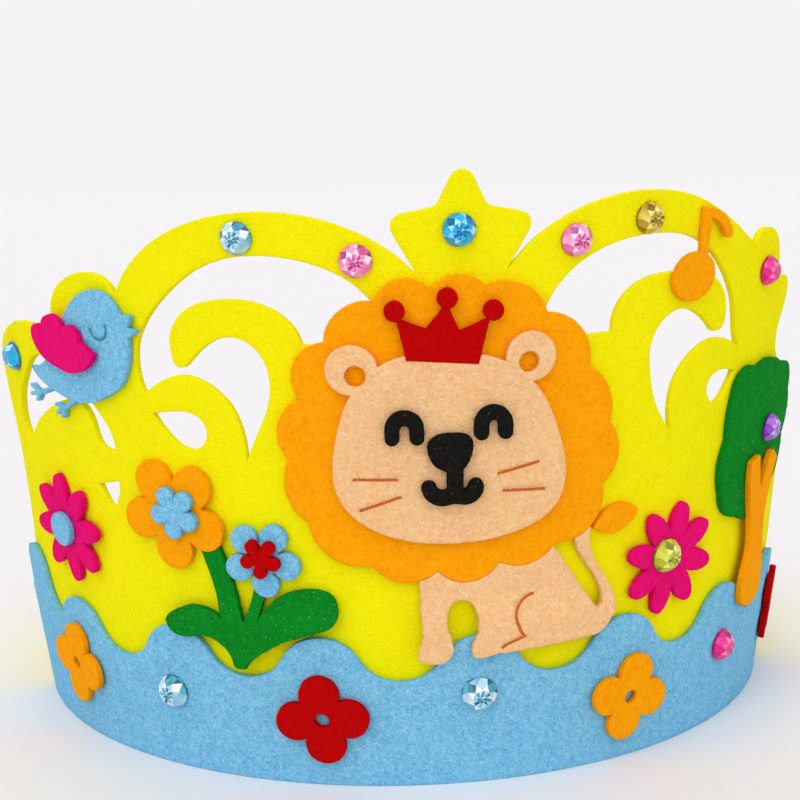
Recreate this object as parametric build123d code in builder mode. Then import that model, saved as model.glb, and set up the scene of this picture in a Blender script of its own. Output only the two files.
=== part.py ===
from build123d import *
from math import atan, cos, degrees, pi, radians, sin, tan
import os

os.makedirs("parts", exist_ok=True)

# A dress-up crown of stiff felt. The band stands on its foot and leans outwards as a shallow cone.
# The floor is z = 0, the star looks along -Y, and the vertical axis runs through the origin.

# Felt and glue
felt = 1.5
glue_gap = 0.05
slit_width = 0.5

# Wall of the band: its outer face is a cone that gains wall_lean of radius for each unit of height
base_radius = 88.0
wall_lean = 0.134
pattern_level = 60.0
pattern_radius = base_radius + wall_lean * pattern_level
lean_angle = atan(wall_lean)

# Pattern: half_front is the length of felt, to one side of the star, that the front is drawn on,
# and cleft_height the height of the cleft beside an arch. Heights of the band and of the strip
# are shares of cleft_height, lengths along the felt are shares of half_front, and a motif
# keeps its proportions, as shares of the smaller of the two.
half_front = 100.0
cleft_height = 100.0
motif = min(half_front, cleft_height)

# Band
star_tip_height_share = 1.26
panel_edge_share = 0.66
crest_end_share = 1.36
strap_height_share = 0.26
star_tip_height = star_tip_height_share * cleft_height
panel_edge = panel_edge_share * half_front
crest_end = crest_end_share * half_front
strap_height = strap_height_share * cleft_height
star_tip_round = 2.3
star_notch_round = 0.8
cut_reach = 16.0
overrun = 4.0

# Blue strip round the foot: crest and trough of its waves, and the height up to which the
# pieces above it lap over it
wave_pitch_share = 0.33
wave_offset_share = 0.042
wave_crest_share = 0.325
wave_trough_share = 0.232
lap_height_share = 0.335
wave_pitch = wave_pitch_share * half_front
wave_offset = wave_offset_share * half_front
waves_left = 3
wave_count = 7

# Motifs, as shares of the pattern's smaller side
motif_shares = {
    "mane": (0.674, 0.599),
    "face": (0.448, 0.378),
    "ear": (0.0485, 0.020),
    "whisker": (0.083,),
    "eye": (0.023, 0.016, 0.028),
    "nose": (0.086, 0.074),
    "nose_stem": (0.031, 0.009),
    "mouth": (0.090, 0.020, 0.030, 0.091),
    "lion_crown": (0.175, 0.125, 0.0195),
    "body": (0.430, 0.230),
    "tuft": (0.104, 0.056),
    "plant": (0.400, 0.260),
    "orange_petals": (0.076, 0.043, 0.069),
    "small_petals": (0.035, 0.0205, 0.026),
    "blue_petals": (0.052, 0.0285, 0.036),
    "red_petals": (0.028, 0.0145, 0.020),
    "band_petals": (0.054, 0.0415, 0.042),
    "band_flower_hole": (0.015,),
    "daisy": (0.074, 0.048, 0.025, 0.050, 0.037),
    "bird": (0.350, 0.240),
    "bird_feet": (0.010, 0.0085),
    "wing": (0.190, 0.120),
    "note_head": (0.055, 0.048),
    "note_stem": (0.134, 0.019),
    "note_flag": (0.064, 0.052),
    "tree": (0.310, 0.354),
    "trunk": (0.160, 0.360),
}
note_head_tilt = 15.0
flower_petals = 5
daisy_petals = 8
band_flower_petals = 4

# Rhinestones, in two stock sizes
small_gem = 6.3
large_gem = 7.2
gem_facets = 8
gem_depth_share = 0.36
gem_rim_share = 0.08
gem_table_share = 0.26
gem_main_taper = 40.0
gem_girdle_taper = 26.0
gem_star_taper = 60.0

# Outline of the arches, by side: -1 is the left of the star and 1 the right. The felt is bent
# unevenly, so the right side stands a little higher. Shares of half_front and cleft_height.
arch_outer_shares = {
    -1: [(0.178, 1.118), (0.339, 1.159), (0.510, 1.130), (0.600, 1.076)],
    1: [(0.154, 1.118), (0.244, 1.163), (0.351, 1.181), (0.459, 1.166), (0.560, 1.120)],
}
star_cleft_share = 1.043
side_cleft_share = {-1: 1.0, 1: 1.06}
arch_inner_shares = {
    -1: [(0.150, 0.980), (0.215, 1.042), (0.298, 1.072), (0.380, 1.078), (0.462, 1.059),
         (0.535, 1.012), (0.587, 0.962), (0.621, 0.909), (0.630, 0.860), (0.620, 0.808)],
    1: [(0.155, 0.970), (0.200, 1.036), (0.270, 1.079), (0.379, 1.098), (0.460, 1.088),
        (0.520, 1.054), (0.567, 1.008), (0.607, 0.945), (0.624, 0.887), (0.641, 0.852)],
}
low_hook_shares = {
    -1: [(0.600, 0.822), (0.569, 0.839), (0.520, 0.849), (0.472, 0.831), (0.433, 0.793),
         (0.412, 0.735), (0.409, 0.682)],
    1: [(0.617, 0.866), (0.569, 0.879), (0.525, 0.872), (0.482, 0.843), (0.455, 0.805),
        (0.446, 0.754), (0.456, 0.701)],
}
hook_inner_shares = {
    -1: [(0.385, 0.735), (0.358, 0.793), (0.351, 0.846), (0.366, 0.894), (0.404, 0.923),
         (0.443, 0.922), (0.482, 0.899), (0.511, 0.872)],
    1: [(0.430, 0.728), (0.403, 0.773), (0.387, 0.831), (0.383, 0.880), (0.403, 0.923),
        (0.447, 0.947), (0.490, 0.938), (0.538, 0.904)],
}
hook_tip_shares = {
    -1: [(0.533, 0.863), (0.545, 0.889)],
    1: [(0.563, 0.892), (0.582, 0.920)],
}
hook_outer_shares = {
    -1: [(0.543, 0.930), (0.515, 0.970), (0.470, 0.992), (0.424, 0.998), (0.356, 0.988),
         (0.312, 0.962), (0.284, 0.912)],
    1: [(0.573, 0.965), (0.545, 0.998), (0.490, 1.018), (0.418, 1.022), (0.355, 1.012),
        (0.315, 0.985), (0.292, 0.915)],
}
shoulder_shares = [(0.170, 0.910), (0.140, 0.940)]
teardrop_shares = {
    -1: [(0.606, 0.768), (0.545, 0.776), (0.501, 0.764), (0.488, 0.740), (0.501, 0.709),
         (0.525, 0.699), (0.569, 0.720)],
    1: [(0.636, 0.803), (0.600, 0.810), (0.565, 0.803), (0.549, 0.782), (0.560, 0.753),
        (0.577, 0.740), (0.610, 0.761)],
}

# Side crests. The left one has a window with a scroll in it, the right one is under the tree.
first_lobe_shares = {
    -1: [(0.680, 1.032), (0.720, 1.045), (0.774, 1.038), (0.830, 1.005), (0.856, 0.935)],
    1: [(0.672, 1.088), (0.705, 1.095), (0.735, 1.085), (0.763, 1.045), (0.782, 0.975)],
}
second_lobe_shares = {
    -1: [(0.890, 0.927), (0.970, 0.934), (1.060, 0.917), (1.130, 0.870), (1.152, 0.780),
         (1.146, 0.680), (1.160, 0.550), (1.210, 0.400), (1.290, 0.295)],
    1: [(0.808, 0.990), (0.835, 0.975), (0.836, 0.930), (0.812, 0.860), (0.830, 0.815),
        (0.900, 0.770), (0.970, 0.690), (1.000, 0.580), (1.030, 0.450), (1.110, 0.330),
        (1.240, 0.275)],
}
side_window_shares = [
    (0.720, 0.682), (0.733, 0.732), (0.764, 0.772), (0.805, 0.812), (0.860, 0.845),
    (0.915, 0.865), (0.965, 0.856), (1.010, 0.820), (1.055, 0.775), (1.079, 0.725),
]
side_scroll_shares = [
    (1.056, 0.660), (1.010, 0.702), (0.960, 0.735), (0.900, 0.762), (0.840, 0.780),
    (0.800, 0.774), (0.779, 0.744), (0.770, 0.704),
]
nub_window_shares = [(0.788, 0.604), (0.774, 0.576), (0.756, 0.556), (0.739, 0.572), (0.727, 0.616)]

# Tall wave at the left side: middle, pitch, crest and trough
side_wave_shares = (-1.190, 0.310, 0.400, 0.268)

# Places on the wall, as shares of half_front along the felt and of cleft_height up the wall
place_shares = {
    "mane": (-0.008, 0.735),
    "face": (-0.02, 0.713),
    "left_eye": (-0.1055, 0.754),
    "right_eye": (0.052, 0.759),
    "nose": (-0.025, 0.712),
    "lion_crown": (-0.033, 0.934),
    "body": (0.116, 0.385),
    "tuft": (0.326, 0.538),
    "plant": (-0.432, 0.378),
    "orange_flower": (-0.58, 0.568),
    "orange_flower_centre": (-0.568, 0.573),
    "blue_flower": (-0.393, 0.486),
    "blue_flower_centre": (-0.391, 0.491),
    "left_daisy": (-0.922, 0.490),
    "right_daisy": (0.482, 0.427),
    "bird": (-0.779, 0.893),
    "wing": (-0.794, 0.9),
    "note": (0.4635, 1.011),
    "tree": (0.78, 0.638),
    "trunk": (0.785, 0.432),
}
band_flower_places = {
    "band_flower_orange_left": (-0.967, 0.171, 80.0),
    "band_flower_red": (-0.288, 0.151, 95.0),
    "band_flower_orange_right": (0.391, 0.142, 78.0),
    "band_flower_red_side": (1.085, 0.180, 45.0),
}

# Rhinestones: place shares, size, how many sheets of felt are under them, and a flat carrier
gem_table = {
    "gem_arch_clear": ((-0.389, 1.112), small_gem, 0, None),
    "gem_arch_pink_left": ((-0.182, 1.067), small_gem, 0, None),
    "gem_star_blue": ((-0.005, 1.119), small_gem, 0, None),
    "gem_arch_pink_right": ((0.206, 1.093), small_gem, 0, None),
    "gem_arch_gold": ((0.352, 1.128), small_gem, 0, None),
    "gem_crest_magenta": ((0.716, 1.004), small_gem, 0, None),
    "gem_crest_blue": ((-1.048, 0.853), small_gem, 0, None),
    "gem_band_left": ((-0.640, 0.174), large_gem, 1, None),
    "gem_band_middle": ((0.039, 0.198), large_gem, 1, None),
    "gem_band_right": ((0.710, 0.180), large_gem, 1, None),
    "gem_daisy": ((0.461, 0.438), large_gem, 1, "right_daisy"),
    "gem_tree": ((0.800, 0.658), small_gem, 1, None),
}


def wall_spot(arc, height, lift=0.0):
    """Point on the band's outer face, or lift outside it, arc along the felt from the star."""
    turn = arc / pattern_radius
    radius = base_radius + wall_lean * height + lift
    return Vector(radius * sin(turn), -radius * cos(turn), height)


def wall_plane(arc, height, lift=0.0):
    """Plane that touches the wall there, its x to the right and its z outwards."""
    turn = arc / pattern_radius
    across = Vector(cos(turn), sin(turn), 0)
    outward = Vector(sin(turn) * cos(lean_angle), -cos(turn) * cos(lean_angle), -sin(lean_angle))
    return Plane(origin=wall_spot(arc, height, lift), x_dir=across, z_dir=outward)


def motif_size(name):
    """Sizes of a motif in the order of its shares."""
    return [share * motif for share in motif_shares[name]]


def place_plane(name, lift=0.0):
    """Plane of a named place on the wall, or lift outside it."""
    across, up = place_shares[name]
    return wall_plane(across * half_front, up * cleft_height, lift)


def seat_plane(place, lift, carrier=None):
    """Plane at a place, lift outside the band. On a flat carrier it lies in the carrier's plane."""
    across, up = place
    seat = wall_plane(across * half_front, up * cleft_height, lift)
    if carrier:
        flat = place_plane(carrier, lift)
        spot = flat.to_local_coords(seat.origin)
        origin = flat.from_local_coords(Vector(spot.X, spot.Y, 0))
        seat = Plane(origin=origin, x_dir=flat.x_dir, z_dir=flat.z_dir)
    return seat


def pattern_spots(plane, side, shares):
    """Pattern points of one side of the band, laid down on a plane that touches the wall."""
    spots = []
    for across, up in shares:
        spot = wall_spot(side * across * half_front, up * cleft_height)
        local = plane.to_local_coords(spot)
        spots.append((local.X, local.Y))
    return spots


def scaled(shares, width, height):
    """Outline points from shares of a width and a height."""
    return [(across * width, up * height) for across, up in shares]


def sheet_lift(level):
    """Distance of a sheet's inner face from the band: 0 is the band's own felt."""
    return (level - 1) * (felt + glue_gap) + glue_gap if level else -felt


def cone_sheet(lift, thickness, arc_from, arc_to, foot, top):
    """Sector of a conical sheet that lies lift outside the band's outer face."""
    turn = arc_from / pattern_radius
    radial = Plane(origin=(0, 0, 0), x_dir=(sin(turn), -cos(turn), 0), z_dir=(-cos(turn), -sin(turn), 0))
    inner_foot = base_radius + wall_lean * foot + lift
    inner_top = base_radius + wall_lean * top + lift
    with BuildPart() as sheet:
        with BuildSketch(radial):
            with BuildLine():
                Polyline(
                    (inner_foot, foot),
                    (inner_foot + thickness, foot),
                    (inner_top + thickness, top),
                    (inner_top, top),
                    close=True,
                )
            make_face()
        revolve(axis=Axis.Z, revolution_arc=min(360, degrees((arc_to - arc_from) / pattern_radius)))
    return sheet.part


def sheet_at(name, level, width, thickness=felt):
    """Felt sheet of a level, wide enough for a piece at a named place."""
    middle = place_shares[name][0] * half_front
    return cone_sheet(sheet_lift(level), thickness, middle - width, middle + width, 0, star_tip_height)


def scalloped(lobes, width, height):
    """Closed outline of scallops, each an arc from its notch over its tip to the next notch."""
    with BuildLine() as outline:
        for lobe, following in zip(lobes, [*lobes[1:], lobes[0]]):
            ThreePointArc(*scaled([*lobe, following[0]], width, height))
    return outline.line


# Cut-aways of the band. Each is drawn on a plane that touches the wall in its middle, and runs
# up past the top of the felt, so that what is left between them is the fretted rim.
above_share = 1.31
star_notch_share = (0.043, 1.162)
star_arm_share = (0.135, 1.145)
star_neck_share = (0.080, star_cleft_share)
star_ray_share = (0.30, 1.31)
arch_ray_share = (0.24, 1.31)
cleft_ray_share = 0.62
lid_share = 1.41


def cut_away_arch(side):
    """Waste above one arch, from the star's neck to the side cleft."""
    plane = wall_plane(side * panel_edge / 2, cleft_height / 2)
    side_share = (panel_edge_share, side_cleft_share[side])
    arch = pattern_spots(plane, side, [star_neck_share, *arch_outer_shares[side], side_share])
    above = pattern_spots(plane, side, [(side_share[0], above_share), arch_ray_share])
    with BuildPart() as waste:
        with BuildSketch(plane):
            with BuildLine():
                Spline(*arch)
                Polyline(arch[-1], *above, arch[0])
            make_face()
        extrude(amount=cut_reach, both=True)
    return waste.part


def cut_away_star():
    """Waste round the star, from neck to neck over its tip."""
    plane = wall_plane(0, star_cleft_share * cleft_height)
    half_shares = [star_notch_share, star_arm_share, star_neck_share, star_ray_share]
    tip = pattern_spots(plane, 1, [(0, star_tip_height_share)])
    right = pattern_spots(plane, 1, half_shares)
    left = pattern_spots(plane, -1, half_shares)
    lid = pattern_spots(plane, 1, [(star_ray_share[0], lid_share)])
    lid += pattern_spots(plane, -1, [(star_ray_share[0], lid_share)])
    with BuildPart() as waste:
        with BuildSketch(plane) as outline:
            with BuildLine():
                Polyline(*tip, *right, *lid, *reversed(left), close=True)
            make_face()
            notches = [right[0], left[0]]
            points = [tip[0], right[1], left[1]]
            for corners, radius in ((notches, star_notch_round), (points, star_tip_round)):
                for corner in corners:
                    fillet(outline.vertices().sort_by_distance(corner)[0], radius=radius)
        extrude(amount=cut_reach, both=True)
    return waste.part


def cut_away_crest(side):
    """Waste above a side crest, from the side cleft down to the low strap."""
    plane = wall_plane(side * (panel_edge + crest_end) / 2, strap_height * 2)
    side_share = (panel_edge_share, side_cleft_share[side])
    first = pattern_spots(plane, side, [side_share, *first_lobe_shares[side]])
    foot_share = (crest_end_share, strap_height_share)
    second = pattern_spots(plane, side, [*second_lobe_shares[side], foot_share])
    far_share = (crest_end + overrun) / half_front
    above = pattern_spots(plane, side, [
        (far_share, strap_height_share),
        (far_share, above_share),
        (cleft_ray_share, above_share),
    ])
    with BuildPart() as waste:
        with BuildSketch(plane):
            with BuildLine():
                Spline(*first)
                Spline(first[-1], *second)
                Polyline(second[-1], *above, first[0])
            make_face()
        extrude(amount=cut_reach, both=True)
    return waste.part


def cut_away_back():
    """Waste above the low strap, round the back of the ring."""
    start = crest_end + overrun / 2
    turn = start / pattern_radius
    radial = Plane(origin=(0, 0, 0), x_dir=(sin(turn), -cos(turn), 0), z_dir=(-cos(turn), -sin(turn), 0))
    ring_middle = (base_radius + wall_lean * star_tip_height, strap_height + star_tip_height / 2)
    with BuildPart() as waste:
        with BuildSketch(radial):
            with Locations(ring_middle):
                Rectangle(base_radius, star_tip_height)
        revolve(axis=Axis.Z, revolution_arc=360 - degrees(2 * start / pattern_radius))
    return waste.part


def arch_windows(side):
    """The two windows of an arch: the large one round both hooks, and the teardrop below them."""
    plane = wall_plane(side * panel_edge / 2, cleft_height / 2)
    inner = pattern_spots(plane, side, arch_inner_shares[side])
    low_hook = pattern_spots(plane, side, low_hook_shares[side])
    hook_inner = pattern_spots(plane, side, hook_inner_shares[side])
    hook_tip = pattern_spots(plane, side, hook_tip_shares[side])
    hook_outer = pattern_spots(plane, side, hook_outer_shares[side])
    shoulder = pattern_spots(plane, side, shoulder_shares)
    teardrop = pattern_spots(plane, side, teardrop_shares[side])
    with BuildPart() as windows:
        with BuildSketch(plane):
            with BuildLine():
                Spline(*inner)
                Spline(inner[-1], *low_hook)
                Spline(low_hook[-1], *hook_inner)
                ThreePointArc(hook_inner[-1], *hook_tip)
                Spline(hook_tip[-1], *hook_outer)
                Polyline(hook_outer[-1], *shoulder, inner[0])
            make_face()
            with BuildLine():
                Spline(*teardrop, teardrop[0])
            make_face()
        extrude(amount=cut_reach, both=True)
    return windows.part


def crest_windows(side):
    """The window of a side crest with a scroll in it, and the small one below."""
    plane = wall_plane(side * (panel_edge + crest_end) / 2, strap_height * 2)
    window = pattern_spots(plane, side, side_window_shares)
    scroll = pattern_spots(plane, side, side_scroll_shares)
    nub = pattern_spots(plane, side, nub_window_shares)
    with BuildPart() as windows:
        with BuildSketch(plane):
            with BuildLine():
                Spline(*window, scroll[0])
                Spline(*scroll, window[0])
            make_face()
            with BuildLine():
                Spline(*nub)
                Line(nub[-1], nub[0])
            make_face()
        extrude(amount=cut_reach, both=True)
    return windows.part


# Band: a whole ring of felt, cut to the outline
half_turn = pi * pattern_radius
with BuildPart() as crown_band:
    add(cone_sheet(-felt, felt, half_turn, 3 * half_turn, 0, star_tip_height))
    add(cut_away_back(), mode=Mode.SUBTRACT)
    for side in (-1, 1):
        add(cut_away_crest(side), mode=Mode.SUBTRACT)
        add(cut_away_arch(side), mode=Mode.SUBTRACT)
        add(arch_windows(side), mode=Mode.SUBTRACT)
    add(crest_windows(-1), mode=Mode.SUBTRACT)
    add(cut_away_star(), mode=Mode.SUBTRACT)
crown_band.part.label = "crown_band"
export_step(crown_band.part, "parts/crown_band.step")

# Blue strip: one wave from trough to trough, repeated round the front and the sides
wave_plane = wall_plane(0, wave_crest_share * cleft_height / 2)
wave_foot_share = -overrun / cleft_height


def wave_hump(pitch_share, crest_share, trough_share):
    """One wave of the strip, with its crest straight above the origin's front."""
    quarter = pitch_share / 4
    slope_share = (crest_share + trough_share) / 2
    shares = [
        (-3 * quarter, slope_share), (-2 * quarter, trough_share), (-quarter, slope_share),
        (0, crest_share), (quarter, slope_share), (2 * quarter, trough_share),
        (3 * quarter, slope_share), (3 * quarter, wave_foot_share), (-3 * quarter, wave_foot_share),
    ]
    with BuildPart() as hump:
        with BuildSketch(wave_plane):
            wave = pattern_spots(wave_plane, 1, shares)
            with BuildLine():
                ThreePointArc(*wave[0:3])
                ThreePointArc(*wave[2:5])
                ThreePointArc(*wave[4:7])
                Polyline(*wave[6:9], wave[0])
            make_face()
        extrude(amount=cut_reach, both=True)
        reach = 2 * quarter * half_front
        add(cone_sheet(sheet_lift(1), felt, -reach, reach, 0, star_tip_height), mode=Mode.INTERSECT)
    return hump.part


even_hump = wave_hump(wave_pitch_share, wave_crest_share, wave_trough_share)
side_middle_share, *side_wave = side_wave_shares
side_hump = wave_hump(*side_wave)
wave_turn = degrees(wave_pitch / pattern_radius)
with BuildPart() as wave_strip:
    for place in range(-waves_left, wave_count - waves_left):
        middle = degrees(wave_offset / pattern_radius) + place * wave_turn
        with Locations(Rotation(0, 0, middle)):
            add(even_hump)
    with Locations(Rotation(0, 0, degrees(side_middle_share * half_front / pattern_radius))):
        add(side_hump)
wave_strip.part.label = "wave_strip"
export_step(wave_strip.part, "parts/wave_strip.step")

# Lion's mane: scallops of uneven size, by the notch and the tip of each
mane_lobe_shares = [
    [(-0.228, 0.435), (-0.163, 0.503)], [(-0.075, 0.470), (0.003, 0.514)],
    [(0.077, 0.474), (0.163, 0.484)], [(0.253, 0.383), (0.339, 0.344)],
    [(0.382, 0.196), (0.449, 0.110)], [(0.453, 0.000), (0.487, -0.112)],
    [(0.437, -0.213), (0.405, -0.350)], [(0.291, -0.393), (0.207, -0.455)],
    [(0.124, -0.437), (0.036, -0.499)], [(-0.056, -0.455), (-0.156, -0.494)],
    [(-0.243, -0.435), (-0.365, -0.405)], [(-0.420, -0.294), (-0.482, -0.193)],
    [(-0.470, -0.084), (-0.500, 0.020)], [(-0.437, 0.120), (-0.452, 0.230)],
    [(-0.367, 0.305), (-0.325, 0.405)],
]

mane_width, mane_height = motif_size("mane")
with BuildPart() as lion_mane_blank:
    with BuildSketch(place_plane("mane")):
        add(scalloped(mane_lobe_shares, mane_width, mane_height))
        make_face()
    extrude(amount=cut_reach, both=True)

with BuildPart() as lion_mane:
    add(lion_mane_blank.part)
    add(sheet_at("mane", 1, mane_width), mode=Mode.INTERSECT)
lion_mane.part.label = "lion_mane"
export_step(lion_mane.part, "parts/lion_mane.step")

# Lion's small crown: three points with balls, leaning a little to the right
lion_crown_shares = [
    (-0.405, -0.380), (0.360, -0.465), (0.480, 0.230), (0.160, 0.030),
    (0.029, 0.460), (-0.194, 0.080), (-0.515, 0.260),
]
lion_crown_ball_shares = [(-0.525, 0.356), (0.029, 0.528), (0.515, 0.330)]

lion_crown_width, lion_crown_height, lion_crown_ball_radius = motif_size("lion_crown")
with BuildPart() as lion_crown_blank:
    with BuildSketch(place_plane("lion_crown")):
        with BuildLine():
            Polyline(*scaled(lion_crown_shares, lion_crown_width, lion_crown_height), close=True)
        make_face()
        with Locations(*scaled(lion_crown_ball_shares, lion_crown_width, lion_crown_height)):
            Circle(lion_crown_ball_radius)
    extrude(amount=cut_reach, both=True)

with BuildPart() as lion_crown:
    with BuildSketch(place_plane("lion_crown", sheet_lift(2))):
        Rectangle(2 * lion_crown_width, 2 * lion_crown_height)
    extrude(amount=felt)
    add(lion_crown_blank.part, mode=Mode.INTERSECT)
lion_crown.part.label = "lion_crown"
export_step(lion_crown.part, "parts/lion_crown.step")

# Lion's face: head and ears in one piece, cut away where the small crown sits
face_shares = [
    (-0.50, -0.11), (-0.41, -0.36), (-0.25, -0.46), (0.00, -0.50), (0.27, -0.46), (0.46, -0.33),
    (0.50, -0.16), (0.47, 0.03), (0.39, 0.26), (0.21, 0.45), (-0.02, 0.50), (-0.28, 0.45),
    (-0.42, 0.29), (-0.48, 0.09),
]
ear_shares = [(-0.416, 0.413), (0.335, 0.456)]
ear_hole_shares = [(-0.400, 0.384), (0.326, 0.430)]
whiskers = [
    (-0.322, -0.149, 0.0), (-0.303, -0.277, 20.0), (0.285, -0.114, 12.0), (0.310, -0.235, -3.0),
]

face_width, face_height = motif_size("face")
ear_radius, ear_hole_radius = motif_size("ear")
whisker_length = motif_size("whisker")[0]
with BuildPart() as lion_face:
    with BuildSketch(place_plane("face")):
        with BuildLine():
            Spline(*scaled(face_shares, face_width, face_height), periodic=True)
        make_face()
        with Locations(*scaled(ear_shares, face_width, face_height)):
            Circle(ear_radius)
        with Locations(*scaled(ear_hole_shares, face_width, face_height)):
            Circle(ear_hole_radius, mode=Mode.SUBTRACT)
        for across, up, tilt in whiskers:
            with Locations((across * face_width, up * face_height)):
                Rectangle(whisker_length, slit_width, rotation=tilt, mode=Mode.SUBTRACT)
    extrude(amount=cut_reach, both=True)
    add(sheet_at("face", 2, face_width), mode=Mode.INTERSECT)
    add(lion_crown_blank.part, mode=Mode.SUBTRACT)
lion_face.part.label = "lion_face"
export_step(lion_face.part, "parts/lion_face.step")

# Lion's eyes: two closed eyes, each an arch with round ends
eye_radius, eye_leg, eye_stroke = motif_size("eye")
for eye in ("left_eye", "right_eye"):
    with BuildPart() as lion_eye:
        with BuildSketch(place_plane(eye, sheet_lift(3))):
            with BuildLine():
                Line((-eye_radius, -eye_leg), (-eye_radius, 0))
                ThreePointArc((-eye_radius, 0), (0, eye_radius), (eye_radius, 0))
                Line((eye_radius, 0), (eye_radius, -eye_leg))
            trace(line_width=eye_stroke)
            with Locations((-eye_radius, -eye_leg), (eye_radius, -eye_leg)):
                Circle(eye_stroke / 2)
        extrude(amount=felt)
    lion_eye.part.label = "lion_" + eye
    export_step(lion_eye.part, "parts/lion_" + eye + ".step")

# Lion's nose, its stem and the two curls of the mouth, in one piece
nose_shares = [
    (-0.50, 0.03), (-0.42, 0.29), (-0.21, 0.42), (0.09, 0.44), (0.35, 0.40), (0.49, 0.24),
    (0.50, 0.07), (0.45, -0.19), (0.30, -0.49), (0.10, -0.62), (-0.12, -0.55), (-0.35, -0.39),
    (-0.45, -0.21),
]
mouth_curl_shares = [
    [(-0.545, 0.85), (-0.41, 0.03), (-0.11, 0.0)],
    [(0.445, 0.92), (0.335, 0.08), (0.09, 0.0)],
]

nose_width, nose_height = motif_size("nose")
nose_stem_width, nose_stem_offset = motif_size("nose_stem")
mouth_width, mouth_height, mouth_stroke, mouth_drop = motif_size("mouth")
with BuildPart() as lion_nose_mouth:
    with BuildSketch(place_plane("nose", sheet_lift(3))):
        with BuildLine():
            Spline(*scaled(nose_shares, nose_width, nose_height), periodic=True)
        make_face()
        with Locations((nose_stem_offset, -mouth_drop / 2)):
            Rectangle(nose_stem_width, mouth_drop)
        for curl_shares in mouth_curl_shares:
            curl = scaled(curl_shares, mouth_width, mouth_height)
            curl = [(x + nose_stem_offset, y - mouth_drop) for x, y in curl]
            with BuildLine():
                ThreePointArc(*curl)
                Line(curl[-1], (nose_stem_offset, -mouth_drop))
            trace(line_width=mouth_stroke)
            with Locations(curl[0]):
                Circle(mouth_stroke / 2)
    extrude(amount=felt)
lion_nose_mouth.part.label = "lion_nose_mouth"
export_step(lion_nose_mouth.part, "parts/lion_nose_mouth.step")

# Lion's body: legs, haunch and tail in one piece. Its feet lap over the blue strip.
body_front_shares = [
    (-0.470, 0.500), (-0.455, 0.250), (-0.446, -0.040), (-0.446, -0.288), (-0.465, -0.400),
    (-0.462, -0.455), (-0.430, -0.481), (-0.345, -0.478), (-0.308, -0.400), (-0.318, -0.240),
    (-0.327, -0.034), (-0.296, 0.056), (-0.260, 0.071), (-0.218, 0.039), (-0.195, -0.046),
    (-0.188, -0.196), (-0.220, -0.379), (-0.212, -0.437), (-0.170, -0.450), (-0.068, -0.420),
]
body_belly_shares = [(0.004, -0.410), (0.400, -0.364)]
body_tail_shares = [(0.469, -0.240), (0.488, -0.075), (0.459, 0.077), (0.389, 0.288), (0.350, 0.620)]
body_tail_end_shares = [(0.270, 0.600)]
body_tail_inner_shares = [(0.304, 0.378), (0.388, 0.148), (0.419, -0.003), (0.411, -0.114), (0.390, -0.130)]
body_back_shares = [(0.356, -0.039), (0.256, 0.252), (0.172, 0.476), (0.020, 0.783), (-0.400, 0.783)]
haunch_shares = [(0.072, 0.087), (0.009, 0.022), (-0.015, -0.083), (0.0, -0.204), (0.026, -0.278)]
haunch_foot_shares = [(-0.063, -0.339), (-0.081, -0.370)]

body_width, body_height = motif_size("body")
with BuildPart() as lion_body_blank:
    with BuildSketch(place_plane("body")):
        front = scaled(body_front_shares, body_width, body_height)
        belly = scaled(body_belly_shares, body_width, body_height)
        tail = scaled(body_tail_shares, body_width, body_height)
        tail_end = scaled(body_tail_end_shares, body_width, body_height)
        tail_inner = scaled(body_tail_inner_shares, body_width, body_height)
        back = scaled(body_back_shares, body_width, body_height)
        with BuildLine():
            Spline(*front)
            Polyline(front[-1], *belly)
            Spline(belly[-1], *tail)
            Line(tail[-1], tail_end[0])
            Spline(tail_end[0], *tail_inner)
            Polyline(tail_inner[-1], *back, front[0])
        make_face()
        haunch = scaled(haunch_shares, body_width, body_height)
        with BuildLine():
            Spline(*haunch)
            Polyline(haunch[-1], *scaled(haunch_foot_shares, body_width, body_height))
        trace(line_width=slit_width, mode=Mode.SUBTRACT)
    extrude(amount=cut_reach, both=True)


def lap_over_strip(blank, name, width):
    """Piece that lies on the band and steps up one sheet where it laps over the blue strip."""
    middle = place_shares[name][0] * half_front
    ends = (middle - width, middle + width)
    with BuildPart() as lapped:
        add(blank)
        lower = cone_sheet(sheet_lift(1), felt + glue_gap, *ends, 0, star_tip_height)
        add(lower, mode=Mode.INTERSECT)
        add(wave_strip.part, mode=Mode.SUBTRACT)
    with BuildPart() as lap:
        add(blank)
        lap_height = lap_height_share * cleft_height
        add(cone_sheet(sheet_lift(2), felt, *ends, 0, lap_height), mode=Mode.INTERSECT)
    with BuildPart() as piece:
        add(lapped.part)
        add(lap.part)
    return piece.part


with BuildPart() as lion_body:
    add(lap_over_strip(lion_body_blank.part, "body", body_width))
    add(lion_mane_blank.part, mode=Mode.SUBTRACT)
lion_body.part.label = "lion_body"
export_step(lion_body.part, "parts/lion_body.step")

# Tuft of the lion's tail: a leaf between two arcs
tuft_length, tuft_height = motif_size("tuft")
with BuildPart() as lion_tail_tuft:
    with BuildSketch(place_plane("tuft")):
        tuft_rise = tuft_height / 4
        with BuildLine():
            left_tip = (-tuft_length / 2, -tuft_rise)
            right_tip = (tuft_length / 2, tuft_rise)
            ThreePointArc(left_tip, (-tuft_rise / 2, tuft_height / 2), right_tip)
            ThreePointArc(right_tip, (tuft_rise / 2, -tuft_height / 2), left_tip)
        make_face()
    extrude(amount=cut_reach, both=True)
    add(sheet_at("tuft", 1, tuft_length), mode=Mode.INTERSECT)
    add(lion_mane_blank.part, mode=Mode.SUBTRACT)
    add(lion_body_blank.part, mode=Mode.SUBTRACT)
lion_tail_tuft.part.label = "lion_tail_tuft"
export_step(lion_tail_tuft.part, "parts/lion_tail_tuft.step")


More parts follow.
